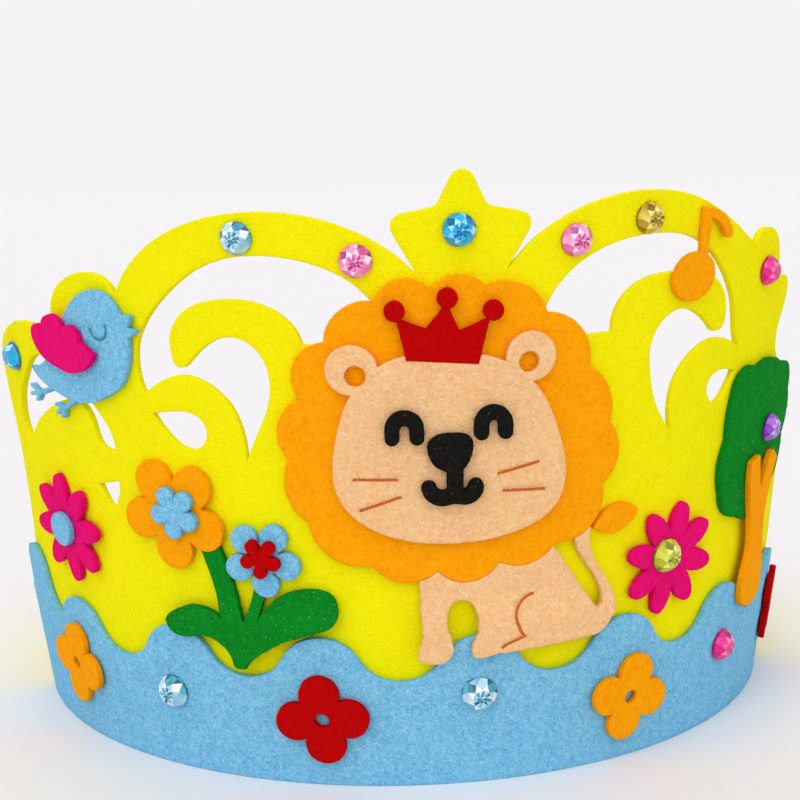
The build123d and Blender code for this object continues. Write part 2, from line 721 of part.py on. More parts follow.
def flower_outline(petals, ring, petal_radius, heart_radius, start):
    """Round petals about a round heart, drawn in the open sketch."""
    Circle(heart_radius)
    with PolarLocations(ring, petals, start_angle=start):
        Circle(petal_radius)


# Flowers above the plant: a large one and a small one, each with a smaller one on it
flower_table = {
    "orange_flower": ("orange_petals", 48.0, None),
    "orange_flower_centre": ("small_petals", 45.0, "orange_flower"),
    "blue_flower": ("blue_petals", 58.0, None),
    "blue_flower_centre": ("red_petals", 50.0, "blue_flower"),
}
flower_blanks = {}
for name, (petals, start, carrier) in flower_table.items():
    level = 2 if carrier else 1
    with BuildPart() as blossom:
        with BuildSketch(seat_plane(place_shares[name], sheet_lift(level), carrier)):
            flower_outline(flower_petals, *motif_size(petals), start)
        extrude(amount=felt)
    blossom.part.label = name
    export_step(blossom.part, "parts/" + name + ".step")
    with BuildPart() as blank:
        with BuildSketch(place_plane(name)):
            flower_outline(flower_petals, *motif_size(petals), start)
        extrude(amount=cut_reach, both=True)
    flower_blanks[name] = blank.part

# Four-petalled flowers with a hole, glued on the blue strip
band_flower_hole_radius = motif_size("band_flower_hole")[0]
for name, (across, up, start) in band_flower_places.items():
    place_shares[name] = (across, up)
    with BuildPart() as band_flower:
        with BuildSketch(place_plane(name, sheet_lift(2))):
            flower_outline(band_flower_petals, *motif_size("band_petals"), start)
            Circle(band_flower_hole_radius, mode=Mode.SUBTRACT)
        extrude(amount=felt)
    band_flower.part.label = name
    export_step(band_flower.part, "parts/" + name + ".step")

# Daisies: eight long petals about a heart, and a felt disc on the left one
daisy_turns = {"left_daisy": 92.0, "right_daisy": 78.0}
daisy_ring, daisy_half_length, daisy_half_width, daisy_heart, daisy_disc = motif_size("daisy")
for name, start in daisy_turns.items():
    with BuildPart() as daisy:
        with BuildSketch(place_plane(name, sheet_lift(1))):
            Circle(daisy_heart)
            with PolarLocations(daisy_ring, daisy_petals, start_angle=start):
                Ellipse(daisy_half_length, daisy_half_width)
        extrude(amount=felt)
    daisy.part.label = name
    export_step(daisy.part, "parts/" + name + ".step")

with BuildPart() as left_daisy_centre:
    with BuildSketch(place_plane("left_daisy", sheet_lift(2))):
        Circle(daisy_disc)
    extrude(amount=felt)
left_daisy_centre.part.label = "left_daisy_centre"
export_step(left_daisy_centre.part, "parts/left_daisy_centre.step")

# Plant: two stems and two leaves in one piece, which laps over the blue strip and whose stems
# end at the flowers
left_stem_shares = [(-0.250, 0.577), (-0.230, 0.474), (-0.186, 0.235), (-0.142, -0.083)]
left_leaf_shares = [
    (-0.190, -0.033), (-0.246, -0.008), (-0.324, -0.008), (-0.401, -0.053), (-0.457, -0.115),
    (-0.469, -0.183), (-0.443, -0.236), (-0.395, -0.262), (-0.333, -0.257), (-0.265, -0.234),
    (-0.206, -0.242), (-0.158, -0.280), (-0.122, -0.333), (-0.096, -0.447),
]
plant_foot_shares = [(-0.082, -0.479), (-0.031, -0.479)]
right_leaf_shares = [
    (-0.012, -0.433), (0.037, -0.367), (0.123, -0.281), (0.205, -0.217), (0.285, -0.180),
    (0.361, -0.149), (0.428, -0.107), (0.460, -0.024), (0.458, 0.057), (0.436, 0.131),
    (0.380, 0.179), (0.316, 0.186), (0.239, 0.167), (0.170, 0.121), (0.056, -0.079),
]
right_stem_shares = [(0.097, 0.132), (0.121, 0.257), (0.060, 0.257), (0.009, 0.015), (-0.021, -0.097)]
left_stem_edge_shares = [(-0.063, 0.154), (-0.139, 0.545), (-0.176, 0.646)]

plant_width, plant_height = motif_size("plant")
with BuildPart() as plant_blank:
    with BuildSketch(place_plane("plant")):
        left_stem = scaled(left_stem_shares, plant_width, plant_height)
        left_leaf = scaled(left_leaf_shares, plant_width, plant_height)
        foot = scaled(plant_foot_shares, plant_width, plant_height)
        right_leaf = scaled(right_leaf_shares, plant_width, plant_height)
        right_stem = scaled(right_stem_shares, plant_width, plant_height)
        stem_edge = scaled(left_stem_edge_shares, plant_width, plant_height)
        with BuildLine():
            Polyline(*left_stem)
            Spline(left_stem[-1], *left_leaf)
            Polyline(left_leaf[-1], *foot, right_leaf[0])
            Spline(*right_leaf)
            Polyline(right_leaf[-1], *right_stem)
            Spline(right_stem[-1], *stem_edge)
            Line(stem_edge[-1], left_stem[0])
        make_face()
    extrude(amount=cut_reach, both=True)

with BuildPart() as plant_stem:
    add(lap_over_strip(plant_blank.part, "plant", plant_width))
    for name in ("orange_flower", "blue_flower"):
        add(flower_blanks[name], mode=Mode.SUBTRACT)
plant_stem.part.label = "plant_stem"
export_step(plant_stem.part, "parts/plant_stem.step")

# Bird: body, open beak and two feet in one piece, with a smiling slit for an eye
bird_shares = [
    (-0.486, -0.208), (-0.300, -0.125), (-0.135, 0.125), (-0.016, 0.321), (0.084, 0.442),
    (0.214, 0.508), (0.327, 0.475), (0.405, 0.342), (0.443, 0.170), (0.449, 0.033),
    (0.414, -0.142), (0.357, -0.275), (0.241, -0.383), (0.097, -0.458), (-0.054, -0.475),
    (-0.243, -0.408), (-0.392, -0.325),
]
beak_shares = [
    [(0.412, 0.310), (0.497, 0.292), (0.455, 0.190), (0.400, 0.150)],
    [(0.400, 0.230), (0.455, 0.200), (0.530, 0.171), (0.445, 0.105), (0.400, 0.100)],
]
leg_shares = [
    [(-0.081, -0.470), (-0.203, -0.546)],
    [(-0.290, -0.385), (-0.446, -0.450)],
]
toe_shares = [
    [(-0.270, -0.520), (-0.276, -0.600), (-0.222, -0.625)],
    [(-0.535, -0.392), (-0.550, -0.475), (-0.490, -0.520)],
]
smile_shares = [(0.178, 0.188), (0.249, 0.090), (0.297, 0.221)]

bird_width, bird_height = motif_size("bird")
bird_leg_stroke, bird_toe_stroke = motif_size("bird_feet")
with BuildPart() as bird_body:
    with BuildSketch(place_plane("bird")):
        outline = scaled(bird_shares, bird_width, bird_height)
        with BuildLine():
            Spline(*outline, outline[0])
        make_face()
        for half in beak_shares:
            with BuildLine():
                Polyline(*scaled(half, bird_width, bird_height), close=True)
            make_face()
        for leg, toes in zip(leg_shares, toe_shares):
            hip, ankle = scaled(leg, bird_width, bird_height)
            with BuildLine():
                Line(hip, ankle)
            trace(line_width=bird_leg_stroke)
            for toe in scaled(toes, bird_width, bird_height):
                with BuildLine():
                    Line(ankle, toe)
                trace(line_width=bird_toe_stroke)
                with Locations(ankle, toe):
                    Circle(bird_toe_stroke / 2)
        with BuildLine():
            ThreePointArc(*scaled(smile_shares, bird_width, bird_height))
        trace(line_width=slit_width, mode=Mode.SUBTRACT)
    extrude(amount=cut_reach, both=True)
    add(sheet_at("bird", 1, bird_width), mode=Mode.INTERSECT)
bird_body.part.label = "bird_body"
export_step(bird_body.part, "parts/bird_body.step")

# Wing: three feathers and a point
wing_lower_shares = [
    (0.505, -0.125), (0.405, -0.308), (0.229, -0.442), (0.052, -0.475), (-0.148, -0.396),
    (-0.324, -0.283), (-0.448, -0.092), (-0.500, 0.175),
]
feather_shares = [
    [(-0.424, 0.333), (-0.324, 0.258)],
    [(-0.143, 0.517), (0.043, 0.300)],
    [(0.190, 0.333), (0.295, 0.075)],
]

wing_width, wing_height = motif_size("wing")
with BuildPart() as bird_wing:
    with BuildSketch(place_plane("wing", sheet_lift(2))):
        lower = scaled(wing_lower_shares, wing_width, wing_height)
        with BuildLine():
            Spline(*lower)
            root = lower[-1]
            for feather in feather_shares:
                top, end = scaled(feather, wing_width, wing_height)
                ThreePointArc(root, top, end)
                root = end
            Line(root, lower[0])
        make_face()
    extrude(amount=felt)
bird_wing.part.label = "bird_wing"
export_step(bird_wing.part, "parts/bird_wing.step")

# Music note: oval head, stem and a curved flag
note_head_half_width, note_head_half_height = motif_size("note_head")
note_stem_length, note_stem_width = motif_size("note_stem")
note_flag_reach, note_flag_drop = motif_size("note_flag")
with BuildPart() as music_note:
    with BuildSketch(place_plane("note", sheet_lift(1))):
        Ellipse(note_head_half_width, note_head_half_height, rotation=note_head_tilt)
        stem_foot = (note_stem_width, 0)
        stem_top = (note_stem_width, note_stem_length)
        with BuildLine():
            Line(stem_foot, stem_top)
        trace(line_width=note_stem_width)
        flag_root = (note_stem_width, note_stem_length - note_stem_width / 2)
        flag_tip = (note_stem_width + note_flag_reach, note_stem_length - note_flag_drop)
        with BuildLine():
            TangentArc(flag_root, flag_tip, tangent=(1, 0))
        trace(line_width=note_stem_width)
        with Locations(flag_tip, flag_root):
            Circle(note_stem_width / 2)
    extrude(amount=felt)
music_note.part.label = "music_note"
export_step(music_note.part, "parts/music_note.step")

# Tree: a scalloped crown of leaves, and a forked trunk that bridges from it to the blue strip
tree_lobe_shares = [
    [(-0.230, 0.470), (-0.420, 0.465)], [(-0.497, 0.340), (-0.520, 0.190)],
    [(-0.503, 0.050), (-0.545, -0.140)], [(-0.490, -0.290), (-0.390, -0.425)],
    [(-0.230, -0.455), (-0.090, -0.500)], [(0.060, -0.450), (0.240, -0.455)],
    [(0.340, -0.330), (0.450, -0.200)], [(0.440, -0.030), (0.500, 0.130)],
    [(0.430, 0.270), (0.350, 0.430)], [(0.180, 0.450), (-0.030, 0.512)],
]

tree_width, tree_height = motif_size("tree")
with BuildPart() as tree_top:
    with BuildSketch(place_plane("tree")):
        add(scalloped(tree_lobe_shares, tree_width, tree_height))
        make_face()
    extrude(amount=cut_reach, both=True)
    add(sheet_at("tree", 1, tree_width), mode=Mode.INTERSECT)
tree_top.part.label = "tree_top"
export_step(tree_top.part, "parts/tree_top.step")

trunk_left_shares = [
    (-0.450, 0.470), (-0.370, 0.240), (-0.220, 0.060), (-0.130, -0.120), (-0.200, -0.260),
    (-0.180, -0.440),
]
trunk_foot_shares = [(0.080, -0.500), (0.400, -0.470)]
trunk_right_shares = [
    (0.500, -0.400), (0.380, -0.160), (0.240, 0.030), (0.250, 0.220), (0.420, 0.440),
]
trunk_fork_shares = [(0.220, 0.500), (0.040, 0.380), (-0.060, 0.290), (-0.150, 0.370), (-0.250, 0.500)]

trunk_width, trunk_height = motif_size("trunk")
with BuildPart() as tree_trunk:
    with BuildSketch(place_plane("trunk")):
        left_side = scaled(trunk_left_shares, trunk_width, trunk_height)
        foot = scaled(trunk_foot_shares, trunk_width, trunk_height)
        right_side = scaled(trunk_right_shares, trunk_width, trunk_height)
        fork = scaled(trunk_fork_shares, trunk_width, trunk_height)
        with BuildLine():
            Spline(*left_side)
            Spline(left_side[-1], *foot, right_side[0])
            Spline(*right_side)
            Line(right_side[-1], fork[0])
            Spline(*fork)
            Line(fork[-1], left_side[0])
        make_face()
    extrude(amount=cut_reach, both=True)
    add(sheet_at("trunk", 2, trunk_width), mode=Mode.INTERSECT)
tree_trunk.part.label = "tree_trunk"
export_step(tree_trunk.part, "parts/tree_trunk.step")

# Rhinestones: a flat back, a thin rim and rings of facets up to a flat table
gem_blanks = {}
for diameter in (small_gem, large_gem):
    radius = diameter / 2
    depth = diameter * gem_depth_share
    rim = diameter * gem_rim_share
    table = diameter * gem_table_share
    half_facet = 180 / gem_facets
    facet_rings = [
        (radius + rim * tan(radians(gem_main_taper)), gem_main_taper, 0),
        (radius + rim * tan(radians(gem_girdle_taper)), gem_girdle_taper, half_facet),
        (table + depth * tan(radians(gem_star_taper)), gem_star_taper, half_facet),
    ]
    with BuildPart() as gem_blank:
        with BuildSketch():
            RegularPolygon(radius, 2 * gem_facets)
        extrude(amount=depth)
        for reach, taper, turn in facet_rings:
            with BuildSketch() as ring_sketch:
                RegularPolygon(reach, gem_facets, major_radius=False, rotation=turn)
            extrude(ring_sketch.sketch, amount=depth, taper=taper, mode=Mode.INTERSECT)
    gem_blanks[diameter] = gem_blank.part

for name, (place, diameter, sheets, carrier) in gem_table.items():
    with BuildPart() as gem:
        with Locations(seat_plane(place, sheet_lift(sheets + 1), carrier)):
            add(gem_blanks[diameter])
    gem.part.label = name
    export_step(gem.part, "parts/" + name + ".step")
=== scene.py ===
"""Looks of a felt dress-up crown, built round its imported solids.

Every felt piece is cut again from the outline of its own solid: a finely meshed sheet with
softly rounded, slightly ragged cut edges, and short loose hairs on it. The rhinestones are
faceted stones set where their solids are. Lengths inside the felt classes are in millimetres,
and become metres when a mesh is written.
"""
import logging
import math
from dataclasses import dataclass, field
from enum import Enum

import bmesh
import bpy
import numpy as np
from mathutils import Matrix, Vector, geometry, kdtree, noise


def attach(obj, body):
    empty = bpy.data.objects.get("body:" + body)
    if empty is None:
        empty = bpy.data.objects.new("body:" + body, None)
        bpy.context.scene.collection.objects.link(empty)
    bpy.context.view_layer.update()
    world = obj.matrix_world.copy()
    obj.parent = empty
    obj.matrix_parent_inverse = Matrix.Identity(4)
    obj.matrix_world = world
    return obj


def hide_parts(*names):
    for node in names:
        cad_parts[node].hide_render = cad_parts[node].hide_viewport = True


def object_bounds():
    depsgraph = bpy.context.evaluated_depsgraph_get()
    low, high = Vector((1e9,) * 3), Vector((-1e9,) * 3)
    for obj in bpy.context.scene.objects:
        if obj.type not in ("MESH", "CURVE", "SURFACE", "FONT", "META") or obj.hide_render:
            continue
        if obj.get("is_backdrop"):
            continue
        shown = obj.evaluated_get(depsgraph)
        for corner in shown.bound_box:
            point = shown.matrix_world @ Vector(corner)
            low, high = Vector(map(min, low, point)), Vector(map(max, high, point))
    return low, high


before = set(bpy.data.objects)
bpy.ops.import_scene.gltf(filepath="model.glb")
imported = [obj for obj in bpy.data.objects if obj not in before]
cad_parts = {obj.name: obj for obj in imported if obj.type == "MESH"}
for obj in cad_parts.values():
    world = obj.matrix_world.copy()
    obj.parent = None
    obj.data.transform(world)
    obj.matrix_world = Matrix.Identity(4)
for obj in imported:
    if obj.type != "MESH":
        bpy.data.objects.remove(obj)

log = logging.getLogger("felt_crown")

MILLIMETRE = 0.001
BODY = "root"

Colour = tuple[float, float, float, float]
Shown = tuple[int, int, int]
Sockets = list[tuple[str, str, object]]
Net = tuple[np.ndarray, np.ndarray, list[np.ndarray]]


class Felt(Enum):
    """The felts of the crown, by the name of their slot."""

    YELLOW = "yellow_felt"
    BLUE = "blue_felt"
    ORANGE = "orange_felt"
    PEACH = "peach_felt"
    RED = "red_felt"
    BLACK = "black_felt"
    GREEN = "green_felt"
    MAGENTA = "magenta_felt"


class Stone(Enum):
    """The rhinestones' colours, by the name of their slot."""

    CLEAR = "clear_stone"
    PINK = "pink_stone"
    SKY = "sky_stone"
    GOLD = "gold_stone"
    MAGENTA = "magenta_stone"
    LIME = "lime_stone"
    PURPLE = "purple_stone"


# How a screen's colour values rise: straight up to the knee, and as a power above it.
SCREEN_KNEE = 0.04045
SCREEN_SLOPE = 12.92
SCREEN_SHIFT = 0.055
SCREEN_POWER = 2.4


def linear(red: int, green: int, blue: int) -> Colour:
    """Linear colour of a colour given as it shows on a screen.

    Args:
        red: Red, 0 to 255.
        green: Green, 0 to 255.
        blue: Blue, 0 to 255.

    Returns:
        Red, green, blue and alpha, 0 to 1.
    """
    plain = []
    for shown in (red / 255, green / 255, blue / 255):
        if shown <= SCREEN_KNEE:
            plain.append(shown / SCREEN_SLOPE)
        else:
            plain.append(((shown + SCREEN_SHIFT) / (1 + SCREEN_SHIFT)) ** SCREEN_POWER)
    return (plain[0], plain[1], plain[2], 1.0)


# Node trees


def feed(tree: bpy.types.NodeTree, socket: bpy.types.NodeSocket, value: object) -> None:
    """Links an input to another socket, or sets its value.

    Args:
        tree: Tree that both are in.
        socket: The input.
        value: A socket, or a plain value.
    """
    if isinstance(value, bpy.types.NodeSocket):
        tree.links.new(value, socket)
    else:
        socket.default_value = value


def add_inputs(tree: bpy.types.NodeTree, inputs: Sockets) -> dict[str, str]:
    """Gives a node group its named inputs.

    Args:
        tree: The group.
        inputs: Name, socket type and default of each input.

    Returns:
        The inputs' identifiers by their names.
    """
    made = {}
    for label, kind, default in inputs:
        socket = tree.interface.new_socket(label, in_out="INPUT", socket_type=kind)
        if default is not None:
            socket.default_value = default
        made[label] = socket.identifier
    return made


def maths(tree: bpy.types.NodeTree, kind: str, *values: object) -> bpy.types.NodeSocket:
    """Adds a Math node.

    Args:
        tree: Tree that it goes into.
        kind: Its operation.
        values: Its inputs in order, sockets or numbers.

    Returns:
        The node's output.
    """
    node = tree.nodes.new("ShaderNodeMath")
    node.operation = kind
    for socket, value in zip(node.inputs, values):
        feed(tree, socket, value)
    return node.outputs[0]


def shift(tree: bpy.types.NodeTree, place: bpy.types.NodeSocket,
          way: object) -> bpy.types.NodeSocket:
    """Adds a Vector Math node that moves a place.

    Args:
        tree: Tree that it goes into.
        place: The place.
        way: How far it moves, a socket or three numbers.

    Returns:
        The node's output.
    """
    node = tree.nodes.new("ShaderNodeVectorMath")
    feed(tree, node.inputs[0], place)
    feed(tree, node.inputs[1], way)
    return node.outputs[0]


def clouds(tree: bpy.types.NodeTree, place: bpy.types.NodeSocket, scale: float,
           detail: float) -> bpy.types.NodeSocket:
    """Adds a Noise Texture.

    Args:
        tree: Tree that it goes into.
        place: Where it is read.
        scale: Patches to a metre.
        detail: Finer layers.

    Returns:
        The node's output.
    """
    node = tree.nodes.new("ShaderNodeTexNoise")
    node.inputs["Scale"].default_value = scale
    node.inputs["Detail"].default_value = detail
    tree.links.new(place, node.inputs["Vector"])
    return node.outputs["Fac"]


@dataclass(frozen=True)
class FeltFibres:
    """Shader group of matted fibres. Scales are patches to a metre, with their finer layers."""

    name: str = "felt_fibres"
    strand_layers: tuple[tuple[float, float, float], ...] = (
        (640.0, 9.0, 0.5), (1150.0, 8.0, 0.55), (1900.0, 7.0, 0.5),
    )
    strand_detail: float = 2.0
    layer_shift: tuple[float, float, float] = (0.37, 0.11, 0.23)
    broad: tuple[float, float] = (140.0, 3.0)
    broad_contrast: tuple[float, float] = (1.2, -0.35)
    patchy: tuple[float, float] = (800.0, 3.0)
    patchy_contrast: float = 3.4
    grains: tuple[float, float] = (2600.0, 1.0)
    grain_contrast: tuple[float, float] = (14.0, -9.9)
    fine: tuple[float, float] = (1900.0, 4.0)
    strand_height: float = 0.55
    patchy_height: float = 0.8
    middle: float = 0.5

    def group(self) -> bpy.types.NodeTree:
        """Curving strands, cloudy mottle, pale specks and their height, built once.

        Returns:
            The group.
        """
        if self.name in bpy.data.node_groups:
            return bpy.data.node_groups[self.name]
        tree = bpy.data.node_groups.new(self.name, "ShaderNodeTree")
        add_inputs(tree, [("Place", "NodeSocketVector", None), ("Shift", "NodeSocketVector", None)])
        entry, out = tree.nodes.new("NodeGroupInput"), tree.nodes.new("NodeGroupOutput")
        moved = shift(tree, entry.outputs["Place"], entry.outputs["Shift"])
        strands = self.strands(tree, moved)
        broad = clouds(tree, moved, *self.broad)
        patchy = clouds(tree, moved, *self.patchy)
        patches = maths(tree, "SUBTRACT", patchy, self.middle)
        mottle = maths(tree, "MULTIPLY_ADD", broad, *self.broad_contrast)
        mottle = maths(tree, "MULTIPLY_ADD", patches, self.patchy_contrast, mottle)
        specks = clouds(tree, moved, *self.grains)
        specks = maths(tree, "MULTIPLY_ADD", specks, *self.grain_contrast)
        height = maths(tree, "MULTIPLY_ADD", strands, self.strand_height,
                       clouds(tree, moved, *self.fine))
        height = maths(tree, "MULTIPLY_ADD", patchy, self.patchy_height, height)
        for label, socket in (("Strands", strands), ("Mottle", self.within(tree, mottle)),
                              ("Specks", self.within(tree, specks)), ("Height", height)):
            tree.interface.new_socket(label, in_out="OUTPUT", socket_type="NodeSocketFloat")
            tree.links.new(socket, out.inputs[label])
        return tree

    def strands(self, tree: bpy.types.NodeTree,
                place: bpy.types.NodeSocket) -> bpy.types.NodeSocket:
        """Lays curving lines over one another, where each layer's clouds cross their middle.

        Args:
            tree: The group.
            place: Where they are read.

        Returns:
            How much strand there is, 0 to 1.
        """
        strands = None
        for layer, (scale, sharpness, strength) in enumerate(self.strand_layers):
            apart = shift(tree, place, [layer * part for part in self.layer_shift])
            cloud = clouds(tree, apart, scale, self.strand_detail)
            off = maths(tree, "ABSOLUTE", maths(tree, "SUBTRACT", cloud, self.middle))
            ridge = maths(tree, "MULTIPLY_ADD", off, -2 * sharpness, 1.0)
            ridge = maths(tree, "MULTIPLY", maths(tree, "MAXIMUM", ridge, 0.0), strength)
            strands = ridge if strands is None else maths(tree, "ADD", strands, ridge)
        return maths(tree, "MINIMUM", strands, 1.0)

    @staticmethod
    def within(tree: bpy.types.NodeTree, value: bpy.types.NodeSocket) -> bpy.types.NodeSocket:
        """Keeps a value between 0 and 1."""
        return maths(tree, "MINIMUM", maths(tree, "MAXIMUM", value, 0.0), 1.0)


class Dressing:
    """A material in the making."""

    def __init__(self, name: str) -> None:
        """Starts a material with a Principled shader.

        Args:
            name: Name of the material.
        """
        self.material = bpy.data.materials.new(name)
        self.material.use_nodes = True
        self.tree = self.material.node_tree
        self.shader = self.tree.nodes["Principled BSDF"]
        self.place = self.tree.nodes.new("ShaderNodeTexCoord").outputs["Object"]

    def group(self, group: bpy.types.NodeTree, values: dict[str, object]) -> bpy.types.Node:
        """Places a shader group and sets its inputs.

        Args:
            group: The group.
            values: Its inputs, as values or sockets.

        Returns:
            The group's node.
        """
        node = self.tree.nodes.new("ShaderNodeGroup")
        node.node_tree = group
        for label, value in values.items():
            feed(self.tree, node.inputs[label], value)
        return node

    def mix(self, share: bpy.types.NodeSocket, first: object,
            second: object) -> bpy.types.NodeSocket:
        """Mixes two colours.

        Args:
            share: How much of the second.
            first: First colour or socket.
            second: Second colour or socket.

        Returns:
            The mixed colour.
        """
        node = self.tree.nodes.new("ShaderNodeMix")
        node.data_type = "RGBA"
        for number, value in ((0, share), (6, first), (7, second)):
            feed(self.tree, node.inputs[number], value)
        return node.outputs[2]

    def attribute(self, name: str) -> bpy.types.NodeSocket:
        """A number kept on the mesh.

        Args:
            name: Name of the attribute.

        Returns:
            Its socket.
        """
        node = self.tree.nodes.new("ShaderNodeAttribute")
        node.attribute_name = name
        return node.outputs["Fac"]

    def finish(self, values: dict[str, object]) -> bpy.types.Material:
        """Sets the shader's own inputs.

        Args:
            values: Its inputs, as values or sockets.

        Returns:
            The material.
        """
        for label, value in values.items():
            feed(self.tree, self.shader.inputs[label], value)
        return self.material


@dataclass(frozen=True)
class FeltFinish:
    """One felt: matted wool fibres, dull and soft, with painted shade on its cut edges and in its
    slits.
    """

    felt: Felt
    body: Colour
    deep: Colour
    pale: Colour
    # Painted shade: the darker colour that the cut edges take.
    cut: Colour
    # Painted shade: the dark colour that the slits' walls and floors take.
    slit_shade_colour: Colour = linear(120, 80, 40)
    speck: Colour = linear(245, 245, 240)
    mottle: float = 0.6
    strands: float = 0.5
    specks: float = 0.0
    hair_paleness: float = 0.35
    cut_share: float = 0.35
    slit_shade_share: float = 0.85
    roughness: float = 0.97
    strand_gloss: float = 0.12
    sheen: float = 0.01
    sheen_roughness: float = 0.6
    specular: float = 0.05
    bump: float = 0.55
    bump_height: float = 0.25
    shift_step: tuple[float, float, float] = (0.13, 0.0, 0.07)

    @classmethod
    def of(cls, felt: Felt, *shown: Shown, **values: float) -> "FeltFinish":
        """Makes a finish from colours as they show on a screen.

        Args:
            felt: The felt.
            shown: Its body, deep, pale and cut colours, the cut one a darker painted shade for its
                cut edges, and where it has slits the painted shade of their floors.
            values: Any other of its values.

        Returns:
            The finish.
        """
        return cls(felt, *(linear(*colour) for colour in shown), **values)

    def material(self) -> bpy.types.Material:
        """The felt's material, made once.

        Returns:
            The material.
        """
        name = self.felt.value + "_nap"
        if name in bpy.data.materials:
            return bpy.data.materials[name]
        made = Dressing(name)
        tree = made.tree
        fibres = made.group(FeltFibres().group(), {
            "Place": made.place,
            "Shift": [len(self.felt.value) * step for step in self.shift_step],
        }).outputs
        mottle = maths(tree, "MULTIPLY", fibres["Mottle"], self.mottle)
        strands = maths(tree, "MULTIPLY", fibres["Strands"], self.strands)
        hair = made.attribute("loose_hair")
        pale = maths(tree, "MULTIPLY_ADD", hair, self.hair_paleness, strands)
        colour = made.mix(mottle, self.body, self.deep)
        colour = made.mix(maths(tree, "MINIMUM", pale, 1.0), colour, self.pale)
        if self.specks:
            specks = maths(tree, "MULTIPLY", fibres["Specks"], self.specks)
            colour = made.mix(specks, colour, self.speck)
        # Painted shade: the cut edges darken towards the cut colour, and the slits towards their
        # own shade colour.
        for mark, share, marked in (("cut_edge", self.cut_share, self.cut),
                                    ("scorched", self.slit_shade_share, self.slit_shade_colour)):
            colour = made.mix(maths(tree, "MULTIPLY", made.attribute(mark), share), colour, marked)
        bump = tree.nodes.new("ShaderNodeBump")
        bump.inputs["Strength"].default_value = self.bump
        bump.inputs["Distance"].default_value = self.bump_height * MILLIMETRE
        tree.links.new(fibres["Height"], bump.inputs["Height"])
        return made.finish({
            "Base Color": colour,
            "Roughness": maths(tree, "MULTIPLY_ADD", fibres["Strands"], -self.strand_gloss,
                               self.roughness),
            "Normal": bump.outputs["Normal"],
            "Sheen Weight": self.sheen,
            "Sheen Roughness": self.sheen_roughness,
            "Sheen Tint": self.pale,
            "Specular IOR Level": self.specular,
        })


# Colours: body, deep, pale, the cut edges' painted shade, and for felts with slits the slits'
# painted shade.
FELTS = {
    finish.felt: finish
    for finish in (
        FeltFinish.of(Felt.YELLOW, (245, 237, 0), (236, 222, 0), (250, 247, 30), (236, 221, 0),
                      mottle=0.5, strands=0.4),
        FeltFinish.of(Felt.BLUE, (100, 184, 226), (74, 156, 212), (176, 220, 238), (96, 174, 214),
                      (76, 158, 180), mottle=0.7, strands=0.65),
        FeltFinish.of(Felt.ORANGE, (255, 162, 0), (248, 138, 0), (255, 188, 24), (250, 140, 0),
                      mottle=0.7, strands=0.4),
        FeltFinish.of(Felt.PEACH, (242, 188, 128), (236, 150, 106), (248, 220, 172),
                      (241, 176, 108), (216, 104, 8), strands=0.7),
        FeltFinish.of(Felt.RED, (188, 0, 2), (160, 0, 2), (208, 14, 12), (164, 0, 2), strands=0.3),
        FeltFinish.of(Felt.BLACK, (20, 19, 17), (10, 10, 9), (44, 42, 38), (14, 13, 12),
                      strands=0.35, specks=0.12),
        FeltFinish.of(Felt.GREEN, (2, 130, 28), (0, 106, 22), (36, 154, 60), (0, 112, 22),
                      strands=0.3, specks=0.3),
        FeltFinish.of(Felt.MAGENTA, (234, 4, 112), (212, 0, 92), (244, 44, 140), (212, 0, 92),
                      strands=0.3),
    )
}


@dataclass(frozen=True)
class StoneFinish:
    """One colour of foil-backed cut stone, its own colour with painted reflections: each facet is
    painted its own brightness.
    """

    stone: Stone
    light_tones: tuple[Colour, ...]
    stops: tuple[float, ...] = (0.08, 0.35, 0.7, 0.95)
    grain_scale: float = 900.0
    grain_detail: float = 1.0
    grain: float = 0.25
    roughness: float = 0.02
    grain_roughness: float = 0.06
    coat: float = 0.2
    coat_roughness: float = 0.02
    ior: float = 1.4

    @classmethod
    def of(cls, stone: Stone, *shown: Shown) -> "StoneFinish":
        """Makes a finish from colours as they show on a screen.

        Args:
            stone: The stone.
            shown: Its colours, from the deepest painted shade to the brightest painted flash of
                reflected light.

        Returns:
            The finish.
        """
        return cls(stone, tuple(linear(*colour) for colour in shown))

    def material(self) -> bpy.types.Material:
        """The stone's material.

        Returns:
            The material.
        """
        made = Dressing(self.stone.value + "_facets")
        tree = made.tree
        # Painted reflections: each facet's painted brightness, with a little grain, picks its
        # colour from dark shade to a white flash.
        grain = clouds(tree, made.place, self.grain_scale, self.grain_detail)
        facet_light = maths(tree, "MULTIPLY_ADD", grain, self.grain, made.attribute("facet_tone"))
        facet_light = maths(tree, "SUBTRACT", facet_light, self.grain / 2)
        ramp = tree.nodes.new("ShaderNodeValToRGB")
        ends = ramp.color_ramp.elements
        ends[0].position, ends[1].position = self.stops[0], self.stops[-1]
        for stop in self.stops[1:-1]:
            ends.new(stop)
        for end, colour in zip(ends, self.light_tones):
            end.color = colour
        tree.links.new(facet_light, ramp.inputs["Fac"])
        return made.finish({
            "Base Color": ramp.outputs["Color"],
            "Roughness": maths(tree, "MULTIPLY_ADD", grain, self.grain_roughness, self.roughness),
            "Metallic": 0.0,
            "Coat Weight": self.coat,
            "Coat Roughness": self.coat_roughness,
            "IOR": self.ior,
        })


